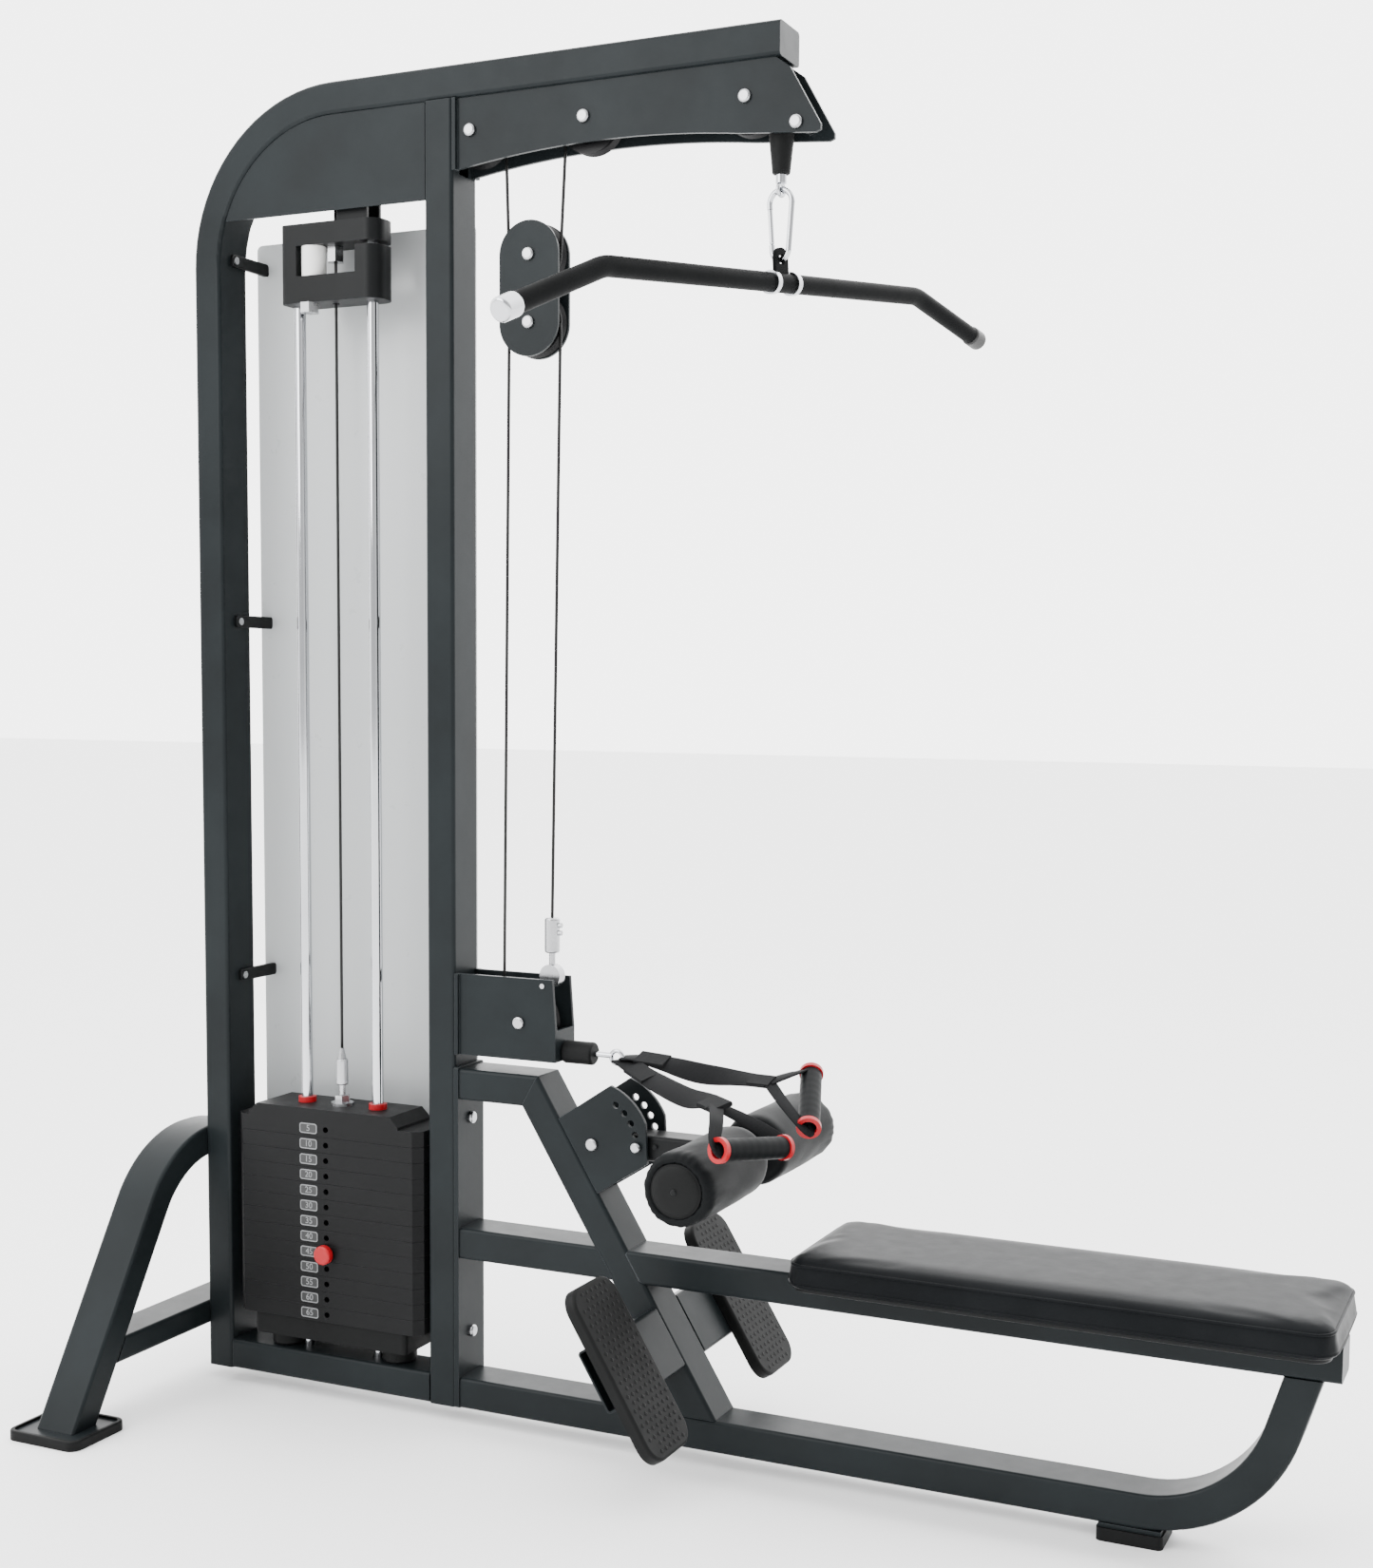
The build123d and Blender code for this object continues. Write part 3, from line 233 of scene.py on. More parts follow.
cable_skin = surface("cable_skin", (0.003, 0.003, 0.003), rough=0.33, grain=2000, shine=0.25)
label_light = surface("label_print", (0.17, 0.175, 0.18), rough=0.45, grain_strength=0.05,
                      grain_depth=0.0001, drift=0.05)
label_dark = surface("label_ground", (0.006, 0.0065, 0.007), rough=0.35, grain_strength=0.05,
                     grain_depth=0.0001, drift=0.05)


def object_axis(tree, axis):
    """One coordinate of the machine's own frame, in metres."""
    coord = tree.nodes.new("ShaderNodeTexCoord")
    split = tree.nodes.new("ShaderNodeSeparateXYZ")
    tree.links.new(coord.outputs["Object"], split.inputs["Vector"])
    return split.outputs[axis]


def shroud_finish():
    """Silver-grey paint, with a painted highlight that lightens it towards the top."""
    mat = surface("shroud_grey_with_painted_light", (0.60, 0.62, 0.63), rough=0.30, grain=1500, grain_strength=0.08, drift=0.02)
    tree = mat.node_tree
    # Painted highlight: the grey ramps lighter with height, as light falling from above makes it look.
    height = math_node(tree, "DIVIDE", object_axis(tree, "Z"), 2.0)
    tree.links.new(ramp(tree, height, (0.36, 0.375, 0.38), (0.47, 0.485, 0.49), 0.1, 0.95),
                   tree.nodes["Principled BSDF"].inputs["Base Color"])
    return mat


def bar_fitting_finish():
    """Chrome, but the end cap on the far side is black."""
    mat = surface("bar_fitting_chrome", CHROME, rough=0.14, grain=300, grain_strength=0.02,
                  grain_depth=0.0001, metal=1.0, drift=0.05)
    tree = mat.node_tree
    bsdf = tree.nodes["Principled BSDF"]
    far = math_node(tree, "GREATER_THAN", object_axis(tree, "Y"), 0.2)
    near = math_node(tree, "SUBTRACT", 1.0, far)
    tree.links.new(near, bsdf.inputs["Metallic"])
    tree.links.new(ramp(tree, far, CHROME, (0.004, 0.004, 0.004), 0.4, 0.6), bsdf.inputs["Base Color"])
    tree.links.new(spread(tree, far, 0.14, 0.5), bsdf.inputs["Roughness"])
    return mat


def vinyl_finish():
    """Upholstery vinyl: pebbled grain over a slow ripple."""
    mat, tree, bsdf = new_material("upholstery_vinyl")
    slow = noise(tree, 7.0, 4.0)
    shade = ramp(tree, slow, (0.0038, 0.0044, 0.0050), (0.0064, 0.0072, 0.0080))
    tree.links.new(shade, bsdf.inputs["Base Color"])
    bsdf.inputs["Specular IOR Level"].default_value = 0.035
    tree.links.new(spread(tree, noise(tree, 35.0, 4.0), 0.30, 0.42), bsdf.inputs["Roughness"])
    coord = tree.nodes.new("ShaderNodeTexCoord")
    cells = add(tree, "ShaderNodeTexVoronoi", Scale=620.0)
    tree.links.new(coord.outputs["Object"], cells.inputs["Vector"])
    normal = bump(tree, bsdf, cells.outputs["Distance"], 0.18, 0.0004)
    bump(tree, bsdf, noise(tree, 16.0, 3.0), 0.12, 0.004, normal)
    return mat


def webbing_finish():
    """Woven nylon: crossed ribs that follow the band's own length and width."""
    rib, pick = 0.0022, 0.0030
    mat, tree, bsdf = new_material("woven_webbing")
    coord = tree.nodes.new("ShaderNodeTexCoord")
    split = tree.nodes.new("ShaderNodeSeparateXYZ")
    tree.links.new(coord.outputs["UV"], split.inputs["Vector"])
    along = math_node(tree, "SINE", math_node(tree, "MULTIPLY", split.outputs["Y"], 2 * pi / rib))
    across = math_node(tree, "SINE", math_node(tree, "MULTIPLY", split.outputs["X"], 2 * pi / pick))
    weave = math_node(tree, "MULTIPLY", along, across)
    weave = math_node(tree, "ADD", math_node(tree, "MULTIPLY", weave, 0.5), 0.5)
    tree.links.new(ramp(tree, weave, (0.0025, 0.0027, 0.0030), (0.0085, 0.0090, 0.0098), 0.1, 0.9),
                   bsdf.inputs["Base Color"])
    bsdf.inputs["Roughness"].default_value = 0.78
    bsdf.inputs["Specular IOR Level"].default_value = 0.1
    bump(tree, bsdf, weave, 0.5, 0.0006)
    return mat


shroud_grey_with_painted_light = shroud_finish()
bar_chrome = bar_fitting_finish()
vinyl = vinyl_finish()
webbing = webbing_finish()

FINISH = {
    paint: "main_tube front_upright stack_base_tube arm_plates header_panel rear_legs rear_crossbar "
           "foot_plates seat_flange seat_top_tube diagonal_post seat_rail seat_base_tube footrest_tube "
           "low_housing block_plates sector_plates",
    black_paint: "shroud_clips rod_head roller_arm",
    bar_paint: "lat_bar",
    weight_paint: "weights_resting weights_lifted top_plate",
    shroud_grey_with_painted_light: "shroud_panel",
    chrome: "guide_rods lat_carabiner carabiner_gate low_link",
    bar_chrome: "bar_fittings",
    zinc: "axle_bolts small_fasteners block_bolts selector_stem roller_pin cable_anchor",
    rubber: "stack_bumpers foot_shoes footplates lat_stop low_stop",
    red: "rod_bushes selector_pin grip_rings",
    nylon: "head_roller",
    wheel_plastic: "pulley_stack pulley_rear pulley_mid pulley_front pulley_low pulley_block_upper "
                   "pulley_block_lower",
    cable_skin: "cable_fixed cable_block_wraps",
}
for material, names in FINISH.items():
    for name in names.split():
        if name in nodes:
            for slot in nodes[name].material_slots:
                slot.material = material


# ---- mesh helpers ----

def mesh_object(name, verts, faces, material, smooth=True, uvs=None):
    mesh = bpy.data.meshes.new(name)
    mesh.from_pydata([tuple(v) for v in verts], [], faces)
    mesh.update()
    if uvs:
        layer = mesh.uv_layers.new(name="UVMap")
        for loop in mesh.loops:
            layer.data[loop.index].uv = uvs[loop.vertex_index]
    for polygon in mesh.polygons:
        polygon.use_smooth = smooth
    mesh.materials.append(material)
    obj = bpy.data.objects.new(name, mesh)
    bpy.context.scene.collection.objects.link(obj)
    return obj


def apply_modifiers(obj):
    """Keeps the modified mesh and drops the modifiers."""
    depsgraph = bpy.context.evaluated_depsgraph_get()
    mesh = bpy.data.meshes.new_from_object(obj.evaluated_get(depsgraph))
    obj.modifiers.clear()
    obj.data = mesh
    return obj


def swap_material(obj, material):
    obj.data.materials.clear()
    obj.data.materials.append(material)


def outward(obj, merge=0.0):
    """Joins doubled points where asked to, and turns every face outwards."""
    bm = bmesh.new()
    bm.from_mesh(obj.data)
    if merge:
        bmesh.ops.remove_doubles(bm, verts=bm.verts, dist=merge)
    bmesh.ops.recalc_face_normals(bm, faces=bm.faces)
    bm.to_mesh(obj.data)
    bm.free()


def attach(pieces, body):
    for obj in pieces:
        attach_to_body(obj, body)


def tube_mesh(name, path, radius, material, sides=14, closed=False):
    """Round tube along a list of points."""
    verts, faces = [], []
    count = len(path)
    side = None
    for i, point in enumerate(path):
        before = path[i - 1] if i or closed else path[i]
        after = path[(i + 1) % count] if i < count - 1 or closed else path[i]
        tangent = (after - before).normalized()
        if side is None:
            side = tangent.orthogonal().normalized()
        side = (side - tangent * side.dot(tangent)).normalized()
        up = tangent.cross(side)
        for k in range(sides):
            a = 2 * pi * k / sides
            verts.append(point + (side * cos(a) + up * sin(a)) * radius)
    loops = count if closed else count - 1
    for i in range(loops):
        j = (i + 1) % count
        for k in range(sides):
            m = (k + 1) % sides
            faces.append((i * sides + k, i * sides + m, j * sides + m, j * sides + k))
    if not closed:
        faces.append(tuple(reversed(range(sides))))
        faces.append(tuple((count - 1) * sides + k for k in range(sides)))
    return mesh_object(name, verts, faces, material)


def lathe(name, profile, base, axis, material, segments=96):
    """Turned piece: profile is (distance along the axis, radius), both in metres."""
    axis = axis.normalized()
    u = axis.orthogonal().normalized()
    v = axis.cross(u)
    verts, faces = [], []
    for along, radius in profile:
        for k in range(segments):
            a = 2 * pi * k / segments
            verts.append(base + axis * along + (u * cos(a) + v * sin(a)) * radius)
    rows = len(profile)
    for i in range(rows - 1):
        for k in range(segments):
            m = (k + 1) % segments
            faces.append((i * segments + k, i * segments + m, (i + 1) * segments + m, (i + 1) * segments + k))
    if profile[0][1] > 1e-6 and profile[0] != profile[-1]:
        faces.append(tuple(reversed(range(segments))))
        faces.append(tuple((rows - 1) * segments + k for k in range(segments)))
    obj = mesh_object(name, verts, faces, material)
    outward(obj, merge=1e-6)
    return obj


def spline(points, steps=12):
    """Catmull-Rom curve through the points."""
    out = []
    for i in range(len(points) - 1):
        p0 = points[max(i - 1, 0)]
        p1, p2 = points[i], points[i + 1]
        p3 = points[min(i + 2, len(points) - 1)]
        for s in range(steps):
            t = s / steps
            out.append(0.5 * ((2 * p1) + (p2 - p0) * t + (2 * p0 - 5 * p1 + 4 * p2 - p3) * t * t
                              + (3 * p1 - p0 - 3 * p2 + p3) * t ** 3))
    out.append(points[-1])
    return out


def band(name, points, ups, width, thick, material, steps=12):
    """Flat webbing along a smooth curve: ups are the directions that its face looks at each point."""
    centre = spline(points, steps)
    facing = spline(ups, steps)
    edge = [(-0.46, -0.5), (0.46, -0.5), (0.5, -0.2), (0.5, 0.2), (0.46, 0.5), (-0.46, 0.5), (-0.5, 0.2),
            (-0.5, -0.2)]
    verts, faces, uvs = [], [], []
    run = 0.0
    n = len(edge)
    for i, point in enumerate(centre):
        before, after = centre[max(i - 1, 0)], centre[min(i + 1, len(centre) - 1)]
        tangent = (after - before).normalized()
        face = facing[i]
        face = (face - tangent * face.dot(tangent)).normalized()
        side = tangent.cross(face)
        if i:
            run += (point - centre[i - 1]).length
        for a, b in edge:
            verts.append(point + side * a * width + face * b * thick)
            uvs.append((a * width, run))
    for i in range(len(centre) - 1):
        for k in range(n):
            m = (k + 1) % n
            faces.append((i * n + k, i * n + m, (i + 1) * n + m, (i + 1) * n + k))
    faces.append(tuple(reversed(range(n))))
    faces.append(tuple((len(centre) - 1) * n + k for k in range(n)))
    obj = mesh_object(name, verts, faces, material, uvs=uvs)
    obj.data.set_sharp_from_angle(angle=radians(50))
    return obj


def rounded_outline(x0, x1, y0, y1, r, steps=10):
    """Rectangle with round corners, anticlockwise from its right side."""
    points = []
    corners = ((x1 - r, y1 - r, 0), (x0 + r, y1 - r, 90), (x0 + r, y0 + r, 180), (x1 - r, y0 + r, 270))
    for cx, cy, start in corners:
        for k in range(steps + 1):
            a = radians(start + 90 * k / steps)
            points.append((cx + r * cos(a), cy + r * sin(a)))
    return points


# ---- cable strands ----

CABLE_R = 0.0025
PITCH_R = 45.0
REAR, MID, BLOCK_TOP, BLOCK_LOW, LOW = (29, 2040), (225, 2040), (125, 1849), (125, 1747), (115, 664)
ANCHOR = (157, 830.2)
STRAND_STEPS = 60


def tangent(a, ra, b, rb):
    """Ends of the straight run between two pulleys: a radius below 0 takes the other side."""
    span = sqrt((b[0] - a[0]) ** 2 + (b[1] - a[1]) ** 2)
    lean = (ra - rb) / span
    angle = atan2(b[1] - a[1], b[0] - a[0]) + pi / 2 - atan2(lean, sqrt(1 - lean * lean))
    n = (cos(angle), sin(angle))
    return (a[0] + ra * n[0], a[1] + ra * n[1]), (b[0] + rb * n[0], b[1] + rb * n[1])


def strand(name, a, b, body):
    """Straight cable from the frame at a to a moving body at b; body is not used."""
    start, end = P(a[0], 0, a[1]), P(b[0], 0, b[1])
    path = [start.lerp(end, i / STRAND_STEPS) for i in range(STRAND_STEPS + 1)]
    obj = tube_mesh(name, path, CABLE_R, cable_skin)
    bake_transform(obj)
    return obj


first = strand("strand_upper_right", *tangent(MID, -PITCH_R, BLOCK_TOP, PITCH_R), "block")
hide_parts("cable_strands")
strand("strand_upper_left", *tangent(REAR, PITCH_R, BLOCK_TOP, -PITCH_R), "block")
strand("strand_low_left", *tangent(LOW, PITCH_R, BLOCK_LOW, PITCH_R), "block")
strand("strand_low_right", *tangent(ANCHOR, 0, BLOCK_LOW, -PITCH_R), "block")
strand("strand_stack", (-240, 2040), (-240, 588), "stack")
strand("strand_pull_down", (532, 2040), (532, 1990), "lat_end")
strand("strand_row", (170, 619), (181, 619), "row_handle")


# ---- bench pad ----

def pad_shell(name, x0, x1, y0, y1, z0, z1, corner, edge_top, edge_low):
    """Closed pad form with rounded corners and soft edges."""
    rows = []
    steps = 6
    for k in range(steps + 1):
        a = pi / 2 * k / steps
        rows.append((edge_low * (1 - sin(a)), z0 + edge_low * (1 - cos(a))))
    for k in range(steps + 1):
        a = pi / 2 * k / steps
        rows.append((edge_top * (1 - cos(a)), z1 - edge_top * (1 - sin(a))))
    verts, faces = [], []
    for inset, z in rows:
        outline = rounded_outline(x0 + inset, x1 - inset, y0 + inset, y1 - inset, max(corner - inset, 2), 10)
        verts += [P(x, y, z) for x, y in outline]
    n = len(verts) // len(rows)
    for i in range(len(rows) - 1):
        for k in range(n):
            m = (k + 1) % n
            faces.append((i * n + k, i * n + m, (i + 1) * n + m, (i + 1) * n + k))
    faces.append(tuple(reversed(range(n))))
    faces.append(tuple((len(rows) - 1) * n + k for k in range(n)))
    return mesh_object(name, verts, faces, vinyl)


PAD = (603.0, 1374.5, -129.5, 129.5, 326.0, 372.0)
HELD_BELOW = 332.0
SWELL = 0.004
VOXEL = 0.006
CLOTH_FRAMES = 20
PRESSURE = 4.0


def cloth_settings(cloth, held):
    settings = cloth.settings
    settings.quality = 5
    settings.mass = 0.3
    settings.tension_stiffness = 25
    settings.compression_stiffness = 25
    settings.shear_stiffness = 10
    settings.bending_stiffness = 2
    settings.use_pressure = True
    settings.uniform_pressure_force = PRESSURE
    settings.vertex_group_mass = held
    settings.effector_weights.gravity = 0
    cloth.collision_settings.use_collision = False
    cloth.point_cache.frame_start = 1
    cloth.point_cache.frame_end = CLOTH_FRAMES


def inflate(obj, pinned_below, cap):
    """Blows the cover up like a filled cushion, then keeps the result."""
    remesh = obj.modifiers.new("remesh", "REMESH")
    remesh.mode = "VOXEL"
    remesh.voxel_size = VOXEL
    apply_modifiers(obj)
    rest = [v.co.copy() for v in obj.data.vertices]
    group = obj.vertex_groups.new(name="held")
    group.add([i for i, co in enumerate(rest) if co.z < pinned_below], 1.0, "REPLACE")
    cloth_settings(obj.modifiers.new("cloth", "CLOTH"), group.name)
    scene = bpy.context.scene
    for index in range(1, CLOTH_FRAMES + 1):
        scene.frame_set(index)
    depsgraph = bpy.context.evaluated_depsgraph_get()
    swollen = [v.co.copy() for v in obj.evaluated_get(depsgraph).data.vertices]
    obj.modifiers.clear()
    for vertex, start, end in zip(obj.data.vertices, rest, swollen):
        move = end - start
        if move.length > cap:
            move = move.normalized() * cap
        vertex.co = start + move
    scene.frame_set(1)


pad = pad_shell("bench_pad_cover", *PAD, corner=33, edge_top=12, edge_low=8)
inflate(pad, P(0, 0, HELD_BELOW).z, SWELL)
smooth = pad.modifiers.new("smooth", "SMOOTH")
smooth.iterations = 6
smooth.factor = 0.5
apply_modifiers(pad)
sub = pad.modifiers.new("sub", "SUBSURF")
sub.levels = sub.render_levels = 1
apply_modifiers(pad)
for polygon in pad.data.polygons:
    polygon.use_smooth = True
swap_material(pad, vinyl)
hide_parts("seat_pad")
attach([pad], "frame")


def outline_on(obj, z):
    """Points all round an object at one height, found on its surface."""
    tree = BVHTree.FromObject(obj, bpy.context.evaluated_depsgraph_get())
    x0, x1, y0, y1 = PAD[:4]
    path = []
    margin = 30
    outer = rounded_outline(x0 - margin, x1 + margin, y0 - margin, y1 + margin, 63, 16)
    inner = rounded_outline(x0 + margin, x1 - margin, y0 + margin, y1 - margin, 10, 16)
    for (ax, ay), (bx, by) in zip(outer, inner):
        start, aim = P(ax, ay, z), P(bx, by, z)
        hit = tree.ray_cast(start, (aim - start).normalized())
        if hit[0] is not None:
            path.append(hit[0])
    dense = []
    for i, point in enumerate(path):
        after = path[(i + 1) % len(path)]
        parts = max(1, int((after - point).length / 0.02))
        for k in range(parts):
            probe = point.lerp(after, k / parts)
            near = tree.find_nearest(probe)
            dense.append(near[0] if near[0] is not None else probe)
    return dense


piping = tube_mesh("bench_pad_piping", outline_on(pad, 362), 0.0022, vinyl, sides=10, closed=True)
low_seam = tube_mesh("bench_pad_low_seam", outline_on(pad, 334), 0.0014, vinyl, sides=8, closed=True)
board = pad_shell("bench_board", 612, 1366, -121, 121, 322.2, 330, corner=28, edge_top=2, edge_low=2)
swap_material(board, black_paint)
attach((piping, low_seam, board), "frame")


# ---- thigh rollers ----

ROLL_X, ROLL_Z, ROLL_INNER_Y = 490.0, 484.0, 30.0
ROLL_R = 0.055
ROLL_LENGTH = 0.220
BORE_R = 0.0128
GATHER = 0.045


def sleeve_profile():
    end = ROLL_LENGTH
    inner = [(0.000, BORE_R), (0.000, 0.040), (0.002, 0.049), (0.008, 0.0535), (0.016, ROLL_R)]
    straight = [(0.016 + (end - 0.034) * k / 24, ROLL_R) for k in range(1, 24)]
    gathered = [(end - 0.018, ROLL_R), (end - 0.009, 0.0537), (end - 0.003, 0.0500), (end - 0.0005, 0.0460),
                (end - 0.001, 0.0420), (end - 0.004, 0.0400), (end - 0.006, 0.0390), (end - 0.006, BORE_R)]
    return inner + straight + gathered


def cap_profile():
    end, steps = ROLL_LENGTH, 10
    rim = [(end - 0.006, 0.0398), (end - 0.003, 0.0398), (end - 0.0005, 0.0388)]
    angles = [pi / 2 * k / steps for k in range(steps, -1, -1)]
    return rim + [(end - 0.001 + 0.0065 * cos(a), 0.037 * sin(a) + 0.0001) for a in angles]


def crease(obj, base, axis):
    """Slack all over the sleeve, and gathers that deepen towards its outer end."""
    for vertex in obj.data.vertices:
        out = vertex.co - base
        along = out.dot(axis)
        radial = out - axis * along
        if radial.length < 0.03:
            continue
        turn = atan2(radial.z, radial.x)
        near_end = max(0.0, (along - ROLL_LENGTH + GATHER) / GATHER)
        ripple = sin(turn * 23 + sin(turn * 5) * 2.0) * 0.0007 * near_end
        slack = sin(turn * 3 + along * 40) * 0.0006 + sin(turn * 7 - along * 65) * 0.0003
        vertex.co += radial.normalized() * (ripple + slack - 0.0006)


def roller(name, side):
    """Foam roller under a vinyl sleeve, gathered at its outer end round a domed cap."""
    base = P(ROLL_X, side * ROLL_INNER_Y, ROLL_Z)
    axis = Vector((0, side, 0))
    end = ROLL_LENGTH
    sleeve = lathe(name, sleeve_profile(), base, axis, foam, 120)
    crease(sleeve, base, axis)
    cap = lathe(name + "_cap", cap_profile(), base, axis, rubber, 96)
    screw = [(end + 0.004, 0.0), (end + 0.004, 0.0048), (end + 0.0065, 0.0045), (end + 0.0075, 0.0030),
             (end + 0.0075, 0.0)]
    return sleeve, cap, lathe(name + "_screw", screw, base, axis, black_paint, 32)


for name, side, node, body in (("roller_near_sleeve", -1, "roller_near", "roll_near"),
                               ("roller_far_sleeve", 1, "roller_far", "roll_far")):
    pieces = roller(name, side)
    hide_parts(node)
    attach(pieces, body)


# ---- row handles ----

GRIPS = (((562, -255, 552), (602, -128, 534)), ((615, -56, 553), (575, 55, 606)))
GRIP_R = 0.0162
GRIP_END_R = 0.0155
GRIP_BORE_R = 0.0121


def grip(name, ends):
    """Foam tube, a little fuller in its middle."""
    start, end = P(*ends[0]), P(*ends[1])
    axis = end - start
    length = axis.length
    steps = 40
    outer = [(0.0, GRIP_END_R), (0.002, GRIP_R)]
    outer += [(length * k / steps, GRIP_R + 0.0004 * sin(pi * k / steps) + 0.0001 * sin(k * 1.3))
              for k in range(2, steps - 1)]
    outer += [(length - 0.002, GRIP_R), (length, GRIP_END_R)]
    inner = [(length, GRIP_BORE_R), (0.0, GRIP_BORE_R), (0.0, GRIP_END_R)]
    return lathe(name, outer + inner, start, axis, foam, 64)


first_grip = grip("grip_near", GRIPS[0])
second_grip = grip("grip_far", GRIPS[1])
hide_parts("handle_grips")
attach((first_grip, second_grip), "row_handle")

WIDTH, THICK = 0.034, 0.003
LEG_WIDTH, LEG_THICK = 0.021, 0.0028
LEG_INSIDE = 0.045
LEG_MOUTH = 0.012


def strap_set(name, route, ups, junction, ends):
    """One handle's strap: doubled band from the ring, then a leg to each end of the grip."""
    parts = [band(name, route, ups, WIDTH, THICK, webbing)]
    axis = (P(*ends[1]) - P(*ends[0])).normalized()
    for index, (tip, way, waypoint, up) in enumerate(junction):
        points = [route[-1], waypoint, tip - axis * way * LEG_MOUTH, tip + axis * way * LEG_INSIDE]
        parts.append(band(f"{name}_leg_{index}", points, up, LEG_WIDTH, LEG_THICK, webbing))
    return parts


def places(*rows):
    return [P(*row) for row in rows]


def vectors(*rows):
    return [Vector(row) for row in rows]


# Each leg: the grip's end, the way into the grip, a point on the way there, and where its face looks.
near_route = places((276, -2, 613), (300, -12, 609), (360, -52, 597), (440, -108, 589), (490, -142, 593),
                    (512, -158, 592))
near_ups = vectors((0, 0, 1), (0, -0.2, 1), (0.2, -0.7, 0.8), (0.2, -0.9, 0.7), (0.3, -0.7, 0.8),
                   (0.5, -0.5, 0.8))
near_legs = [
    (P(*GRIPS[0][0]), 1, P(540, -222, 583),
     vectors((0.4, -0.4, 0.9), (0.5, -0.5, 0.6), (0.9, 0.2, 0.5), (0.9, 0.0, 0.5))),
    (P(*GRIPS[0][1]), -1, P(566, -128, 560),
     vectors((0.5, -0.3, 0.9), (0.4, -0.7, 0.7), (0.3, -0.8, 0.6), (0.9, 0.0, 0.5))),
]
far_route = places((278, 4, 616), (305, 8, 617), (350, 6, 613), (415, 0, 604), (480, -6, 603),
                   (533, -12, 603))
far_ups = vectors((0, 0, 1), (0, -0.1, 1), (0, -0.5, 1), (0, -0.9, 0.7), (0, -0.5, 0.9), (0, -0.3, 1))
far_legs = [
    (P(*GRIPS[1][0]), 1, P(578, -52, 577),
     vectors((0.2, -0.3, 1), (0.6, -0.4, 0.8), (0.9, -0.2, 0.5), (0.8, 0.1, 0.5))),
    (P(*GRIPS[1][1]), -1, P(562, 30, 613),
     vectors((0, -0.3, 1), (-0.3, -0.3, 1), (-0.3, -0.2, 1), (-0.6, 0.0, 0.7))),
]
straps = strap_set("strap_near", near_route, near_ups, near_legs, GRIPS[0])
straps += strap_set("strap_far", far_route, far_ups, far_legs, GRIPS[1])


def fold(name, centre, heading, up, length, width, thick):
    """Doubled, stitched stretch of webbing."""
    reach = Vector(heading).normalized() * length / 2
    return band(name, [centre - reach, centre, centre + reach], [Vector(up)] * 3, width, thick, webbing, 4)


straps += [
    fold("strap_near_stitching", P(330, -32, 602.5), (0.82, -0.55, -0.16), (0.1, -0.45, 0.9),
         0.055, WIDTH * 0.99, 0.0065),
    fold("strap_far_stitching", P(330, 7, 617), (1, -0.02, -0.06), (0, -0.35, 1),
         0.050, WIDTH * 0.99, 0.0065),
    fold("strap_near_joint", P(506, -152, 592.5), (0.8, -0.55, -0.05), (0.4, -0.58, 0.8),
         0.044, WIDTH * 1.04, 0.0075),
    fold("strap_far_joint", P(520, -10, 603), (1, -0.1, 0), (0, -0.35, 1), 0.036, WIDTH * 0.9, 0.0065),
]
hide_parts("handle_straps")
attach(straps, "row_handle")


# ---- footplate tread ----

POST_SLOPE = radians(58.5)
DOWN = Vector((cos(POST_SLOPE), 0, -sin(POST_SLOPE)))
OUT = Vector((sin(POST_SLOPE), 0, cos(POST_SLOPE)))
TREAD_FACE = 0.407 + 0.025 + 0.018
TREAD_ROWS, TREAD_COLUMNS = 23, 8
ROW_PITCH, COLUMN_PITCH = 0.0113, 0.0145
DIAMOND = (0.0048, 0.0062)
DIAMOND_TOP = 0.45
DIAMOND_HEIGHT = 0.0009
DIAMOND_ROOT = -0.0004


def tread(name, side):
    """Raised diamonds over the footplate's face."""
    verts, faces = [], []
    a, b = DIAMOND
    corners = ((a, 0), (0, b), (-a, 0), (0, -b))
    for row in range(TREAD_ROWS):
        for column in range(TREAD_COLUMNS):
            s = -0.090 + row * ROW_PITCH
            y = 0.152 + column * COLUMN_PITCH + (row % 2) * COLUMN_PITCH / 2
            past_corner = abs(s - 0.035) > 0.112 and not 0.165 < y < 0.245
            if y > 0.260 or past_corner:
                continue
            centre = P(0, 0, 0) + DOWN * s + OUT * TREAD_FACE + Vector((0, side * y, 0))
            base = len(verts)
            for scale, lift in ((1, DIAMOND_ROOT), (DIAMOND_TOP, DIAMOND_HEIGHT)):
                verts += [centre + DOWN * da * scale + Vector((0, db * scale, 0)) + OUT * lift
                          for da, db in corners]
            for k in range(4):
                m = (k + 1) % 4
                faces.append((base + k, base + m, base + 4 + m, base + 4 + k))
            faces.append((base + 4, base + 5, base + 6, base + 7))
    obj = mesh_object(name, verts, faces, rubber, smooth=False)
    outward(obj)
    attach([obj], "frame")


tread("footplate_tread_near", -1)
tread("footplate_tread_far", 1)


# ---- stack labels ----

LABEL_X, PLATE_FACE_Y = -274.0, -50.0
LABEL_HALF = (17, 8.5)
LABEL_BORDER = 1.6
STACK_Z, PLATE_PITCH, PLATE_HALF = 136, 26, 12.7
PLATES, RESTING, LABEL_STEP = 13, 4, 5


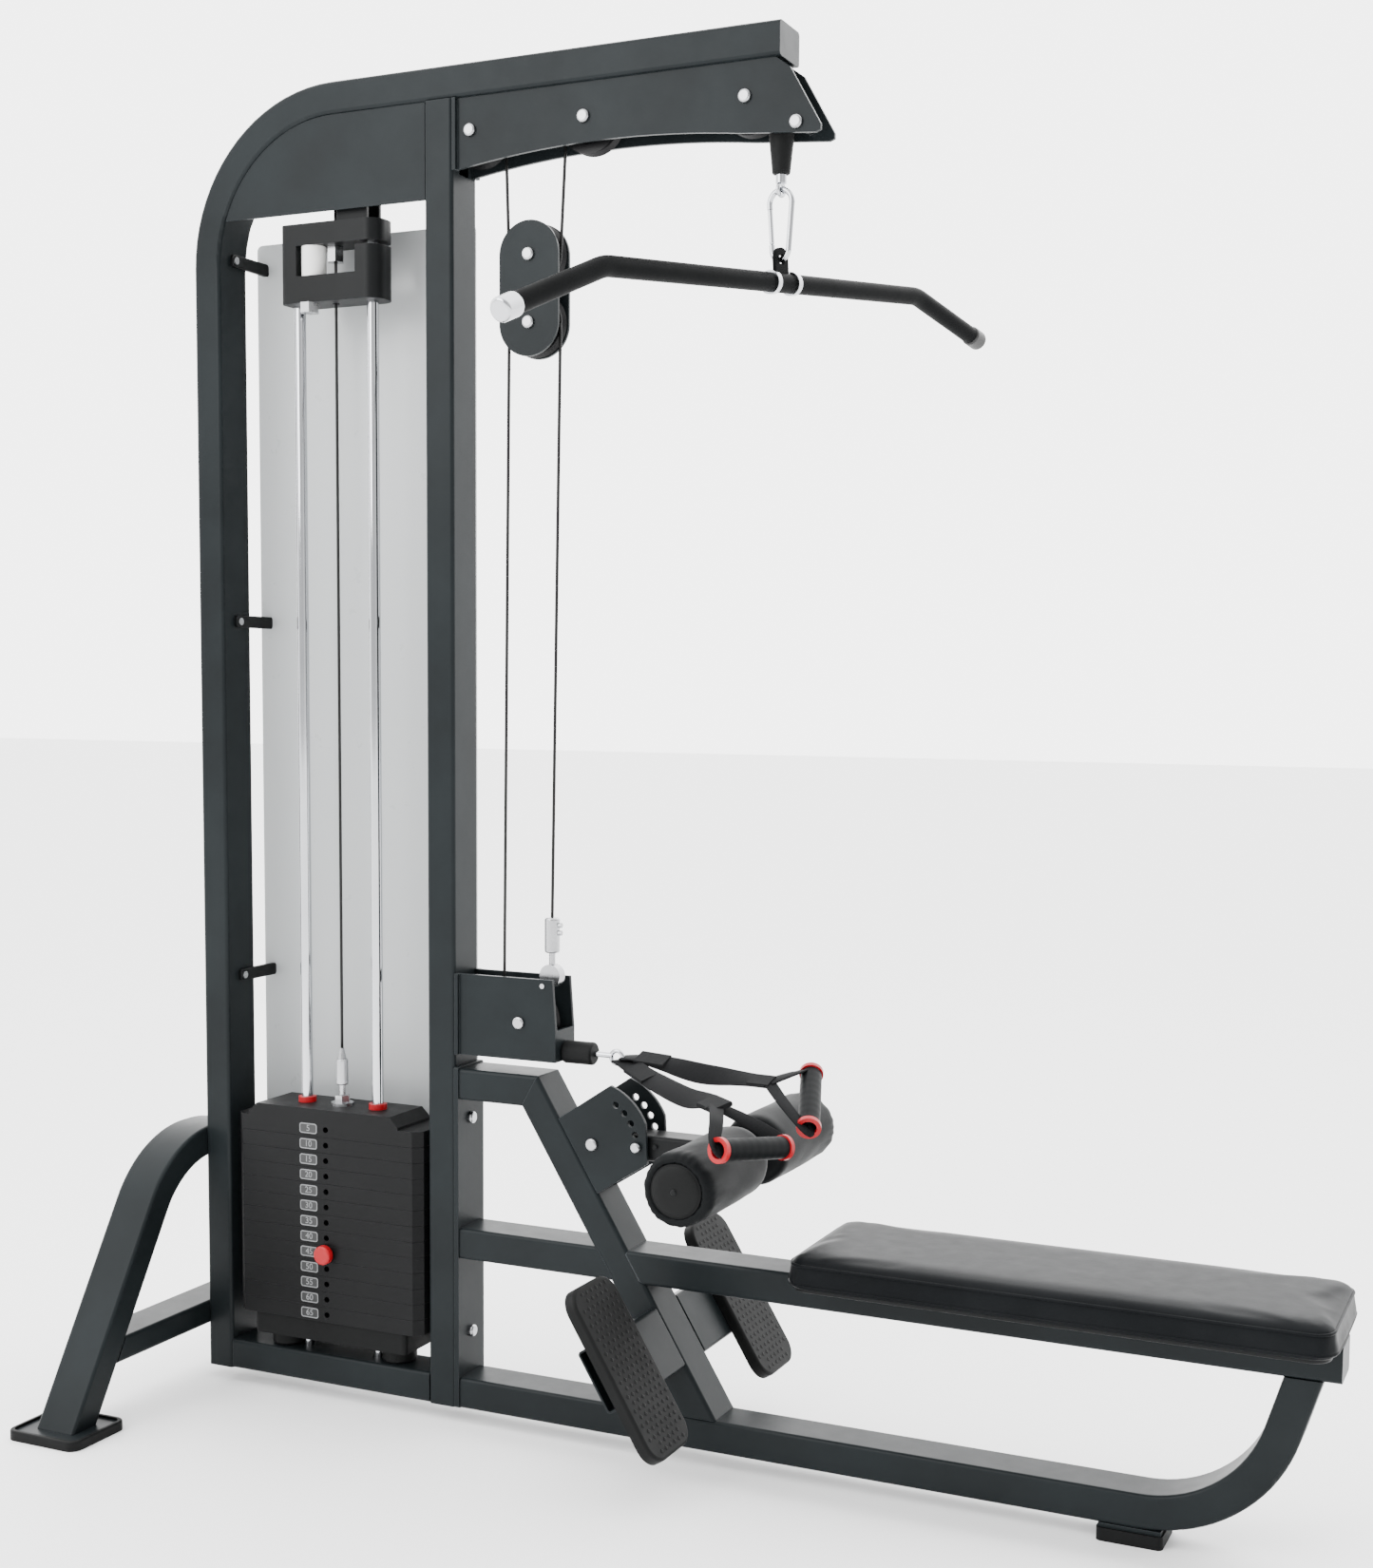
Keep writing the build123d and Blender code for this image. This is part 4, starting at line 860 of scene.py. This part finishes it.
def label(name, x, z, number, body):
    """Small printed plate: light border and number on black."""
    y = PLATE_FACE_Y
    w, h = LABEL_HALF
    outer = rounded_outline(x - w, x + w, z - h, z + h, 4, 5)
    w, h = w - LABEL_BORDER, h - LABEL_BORDER
    inner = rounded_outline(x - w, x + w, z - h, z + h, 2.8, 5)
    n = len(outer)
    verts = [P(a, y - 0.5, b) for a, b in outer] + [P(a, y - 0.5, b) for a, b in inner]
    verts += [P(a, y, b) for a, b in outer]
    faces = [(k, (k + 1) % n, n + (k + 1) % n, n + k) for k in range(n)]
    faces += [(k, 2 * n + k, 2 * n + (k + 1) % n, (k + 1) % n) for k in range(n)]
    border = mesh_object(name + "_border", verts, faces, label_light, smooth=False)
    back = mesh_object(name + "_ground", [P(a, y - 0.4, b) for a, b in inner], [tuple(range(n))], label_dark,
                       smooth=False)
    text = bpy.data.curves.new(name + "_number", "FONT")
    text.body = str(number)
    text.size = 0.0145
    text.align_x = "CENTER"
    text.align_y = "CENTER"
    text.extrude = 0.0002
    text.materials.append(label_light)
    words = bpy.data.objects.new(name + "_number", text)
    bpy.context.scene.collection.objects.link(words)
    words.location = P(x, y - 0.5, z)
    words.rotation_euler = (pi / 2, 0, 0)
    attach((border, back, words), body)


for index in range(PLATES):
    number = PLATES - index
    z = STACK_Z + index * PLATE_PITCH + PLATE_HALF
    label(f"label_{number}", LABEL_X, z, number * LABEL_STEP, "frame" if index < RESTING else "stack")


# ---- stage and light ----

FLOOR_HALF = 30
corners = [(-FLOOR_HALF, -FLOOR_HALF, 0), (FLOOR_HALF, -FLOOR_HALF, 0), (FLOOR_HALF, FLOOR_HALF, 0),
           (-FLOOR_HALF, FLOOR_HALF, 0)]
floor_mat, _, floor_bsdf = new_material("studio_floor")
floor_bsdf.inputs["Base Color"].default_value = (0.93, 0.93, 0.93, 1)
floor_bsdf.inputs["Roughness"].default_value = 0.6
floor = mesh_object("studio_floor", corners, [(0, 1, 2, 3)], floor_mat, smooth=False)

BACKDROP = 5.0
ROOM = 1.1
BACKDROP_AIM = (-0.45, 0.65, 0.61)


def studio_world():
    """A lit backdrop and ceiling behind the machine, and a dimmer room in front of it."""
    world = bpy.data.worlds.new("studio")
    bpy.context.scene.world = world
    world.use_nodes = True
    tree = world.node_tree
    coord = tree.nodes.new("ShaderNodeTexCoord")
    aim = tree.nodes.new("ShaderNodeVectorMath")
    aim.operation = "DOT_PRODUCT"
    aim.inputs[1].default_value = Vector(BACKDROP_AIM).normalized()
    tree.links.new(coord.outputs["Generated"], aim.inputs[0])
    reach = add(tree, "ShaderNodeMapRange")
    reach.interpolation_type = "SMOOTHSTEP"
    reach.inputs["From Min"].default_value = -0.35
    reach.inputs["From Max"].default_value = 0.55
    reach.inputs["To Min"].default_value = ROOM
    reach.inputs["To Max"].default_value = BACKDROP
    tree.links.new(aim.outputs["Value"], reach.inputs["Value"])
    background = tree.nodes["Background"]
    background.inputs["Color"].default_value = (1, 1, 1, 1)
    tree.links.new(reach.outputs["Result"], background.inputs["Strength"])


studio_world()


def softbox(name, location, aim, size, power):
    data = bpy.data.lights.new(name, "AREA")
    data.shape = "RECTANGLE"
    data.size, data.size_y = size
    data.energy = power
    obj = bpy.data.objects.new(name, data)
    bpy.context.scene.collection.objects.link(obj)
    obj.location = location
    obj.rotation_euler = (Vector(aim) - Vector(location)).to_track_quat("-Z", "Y").to_euler()


# Places and aims in metres, power in watts.
softbox("key", (-1.8, -3.8, 3.0), (0, 0, 1.0), (2.6, 2.6), 170)
softbox("fill", (3.8, -2.6, 2.2), (0.2, 0, 0.8), (2.0, 3.0), 6)
softbox("rim", (0.5, 3.5, 3.6), (0, 0, 1.2), (3.0, 1.5), 40)

bpy.context.view_layer.update()
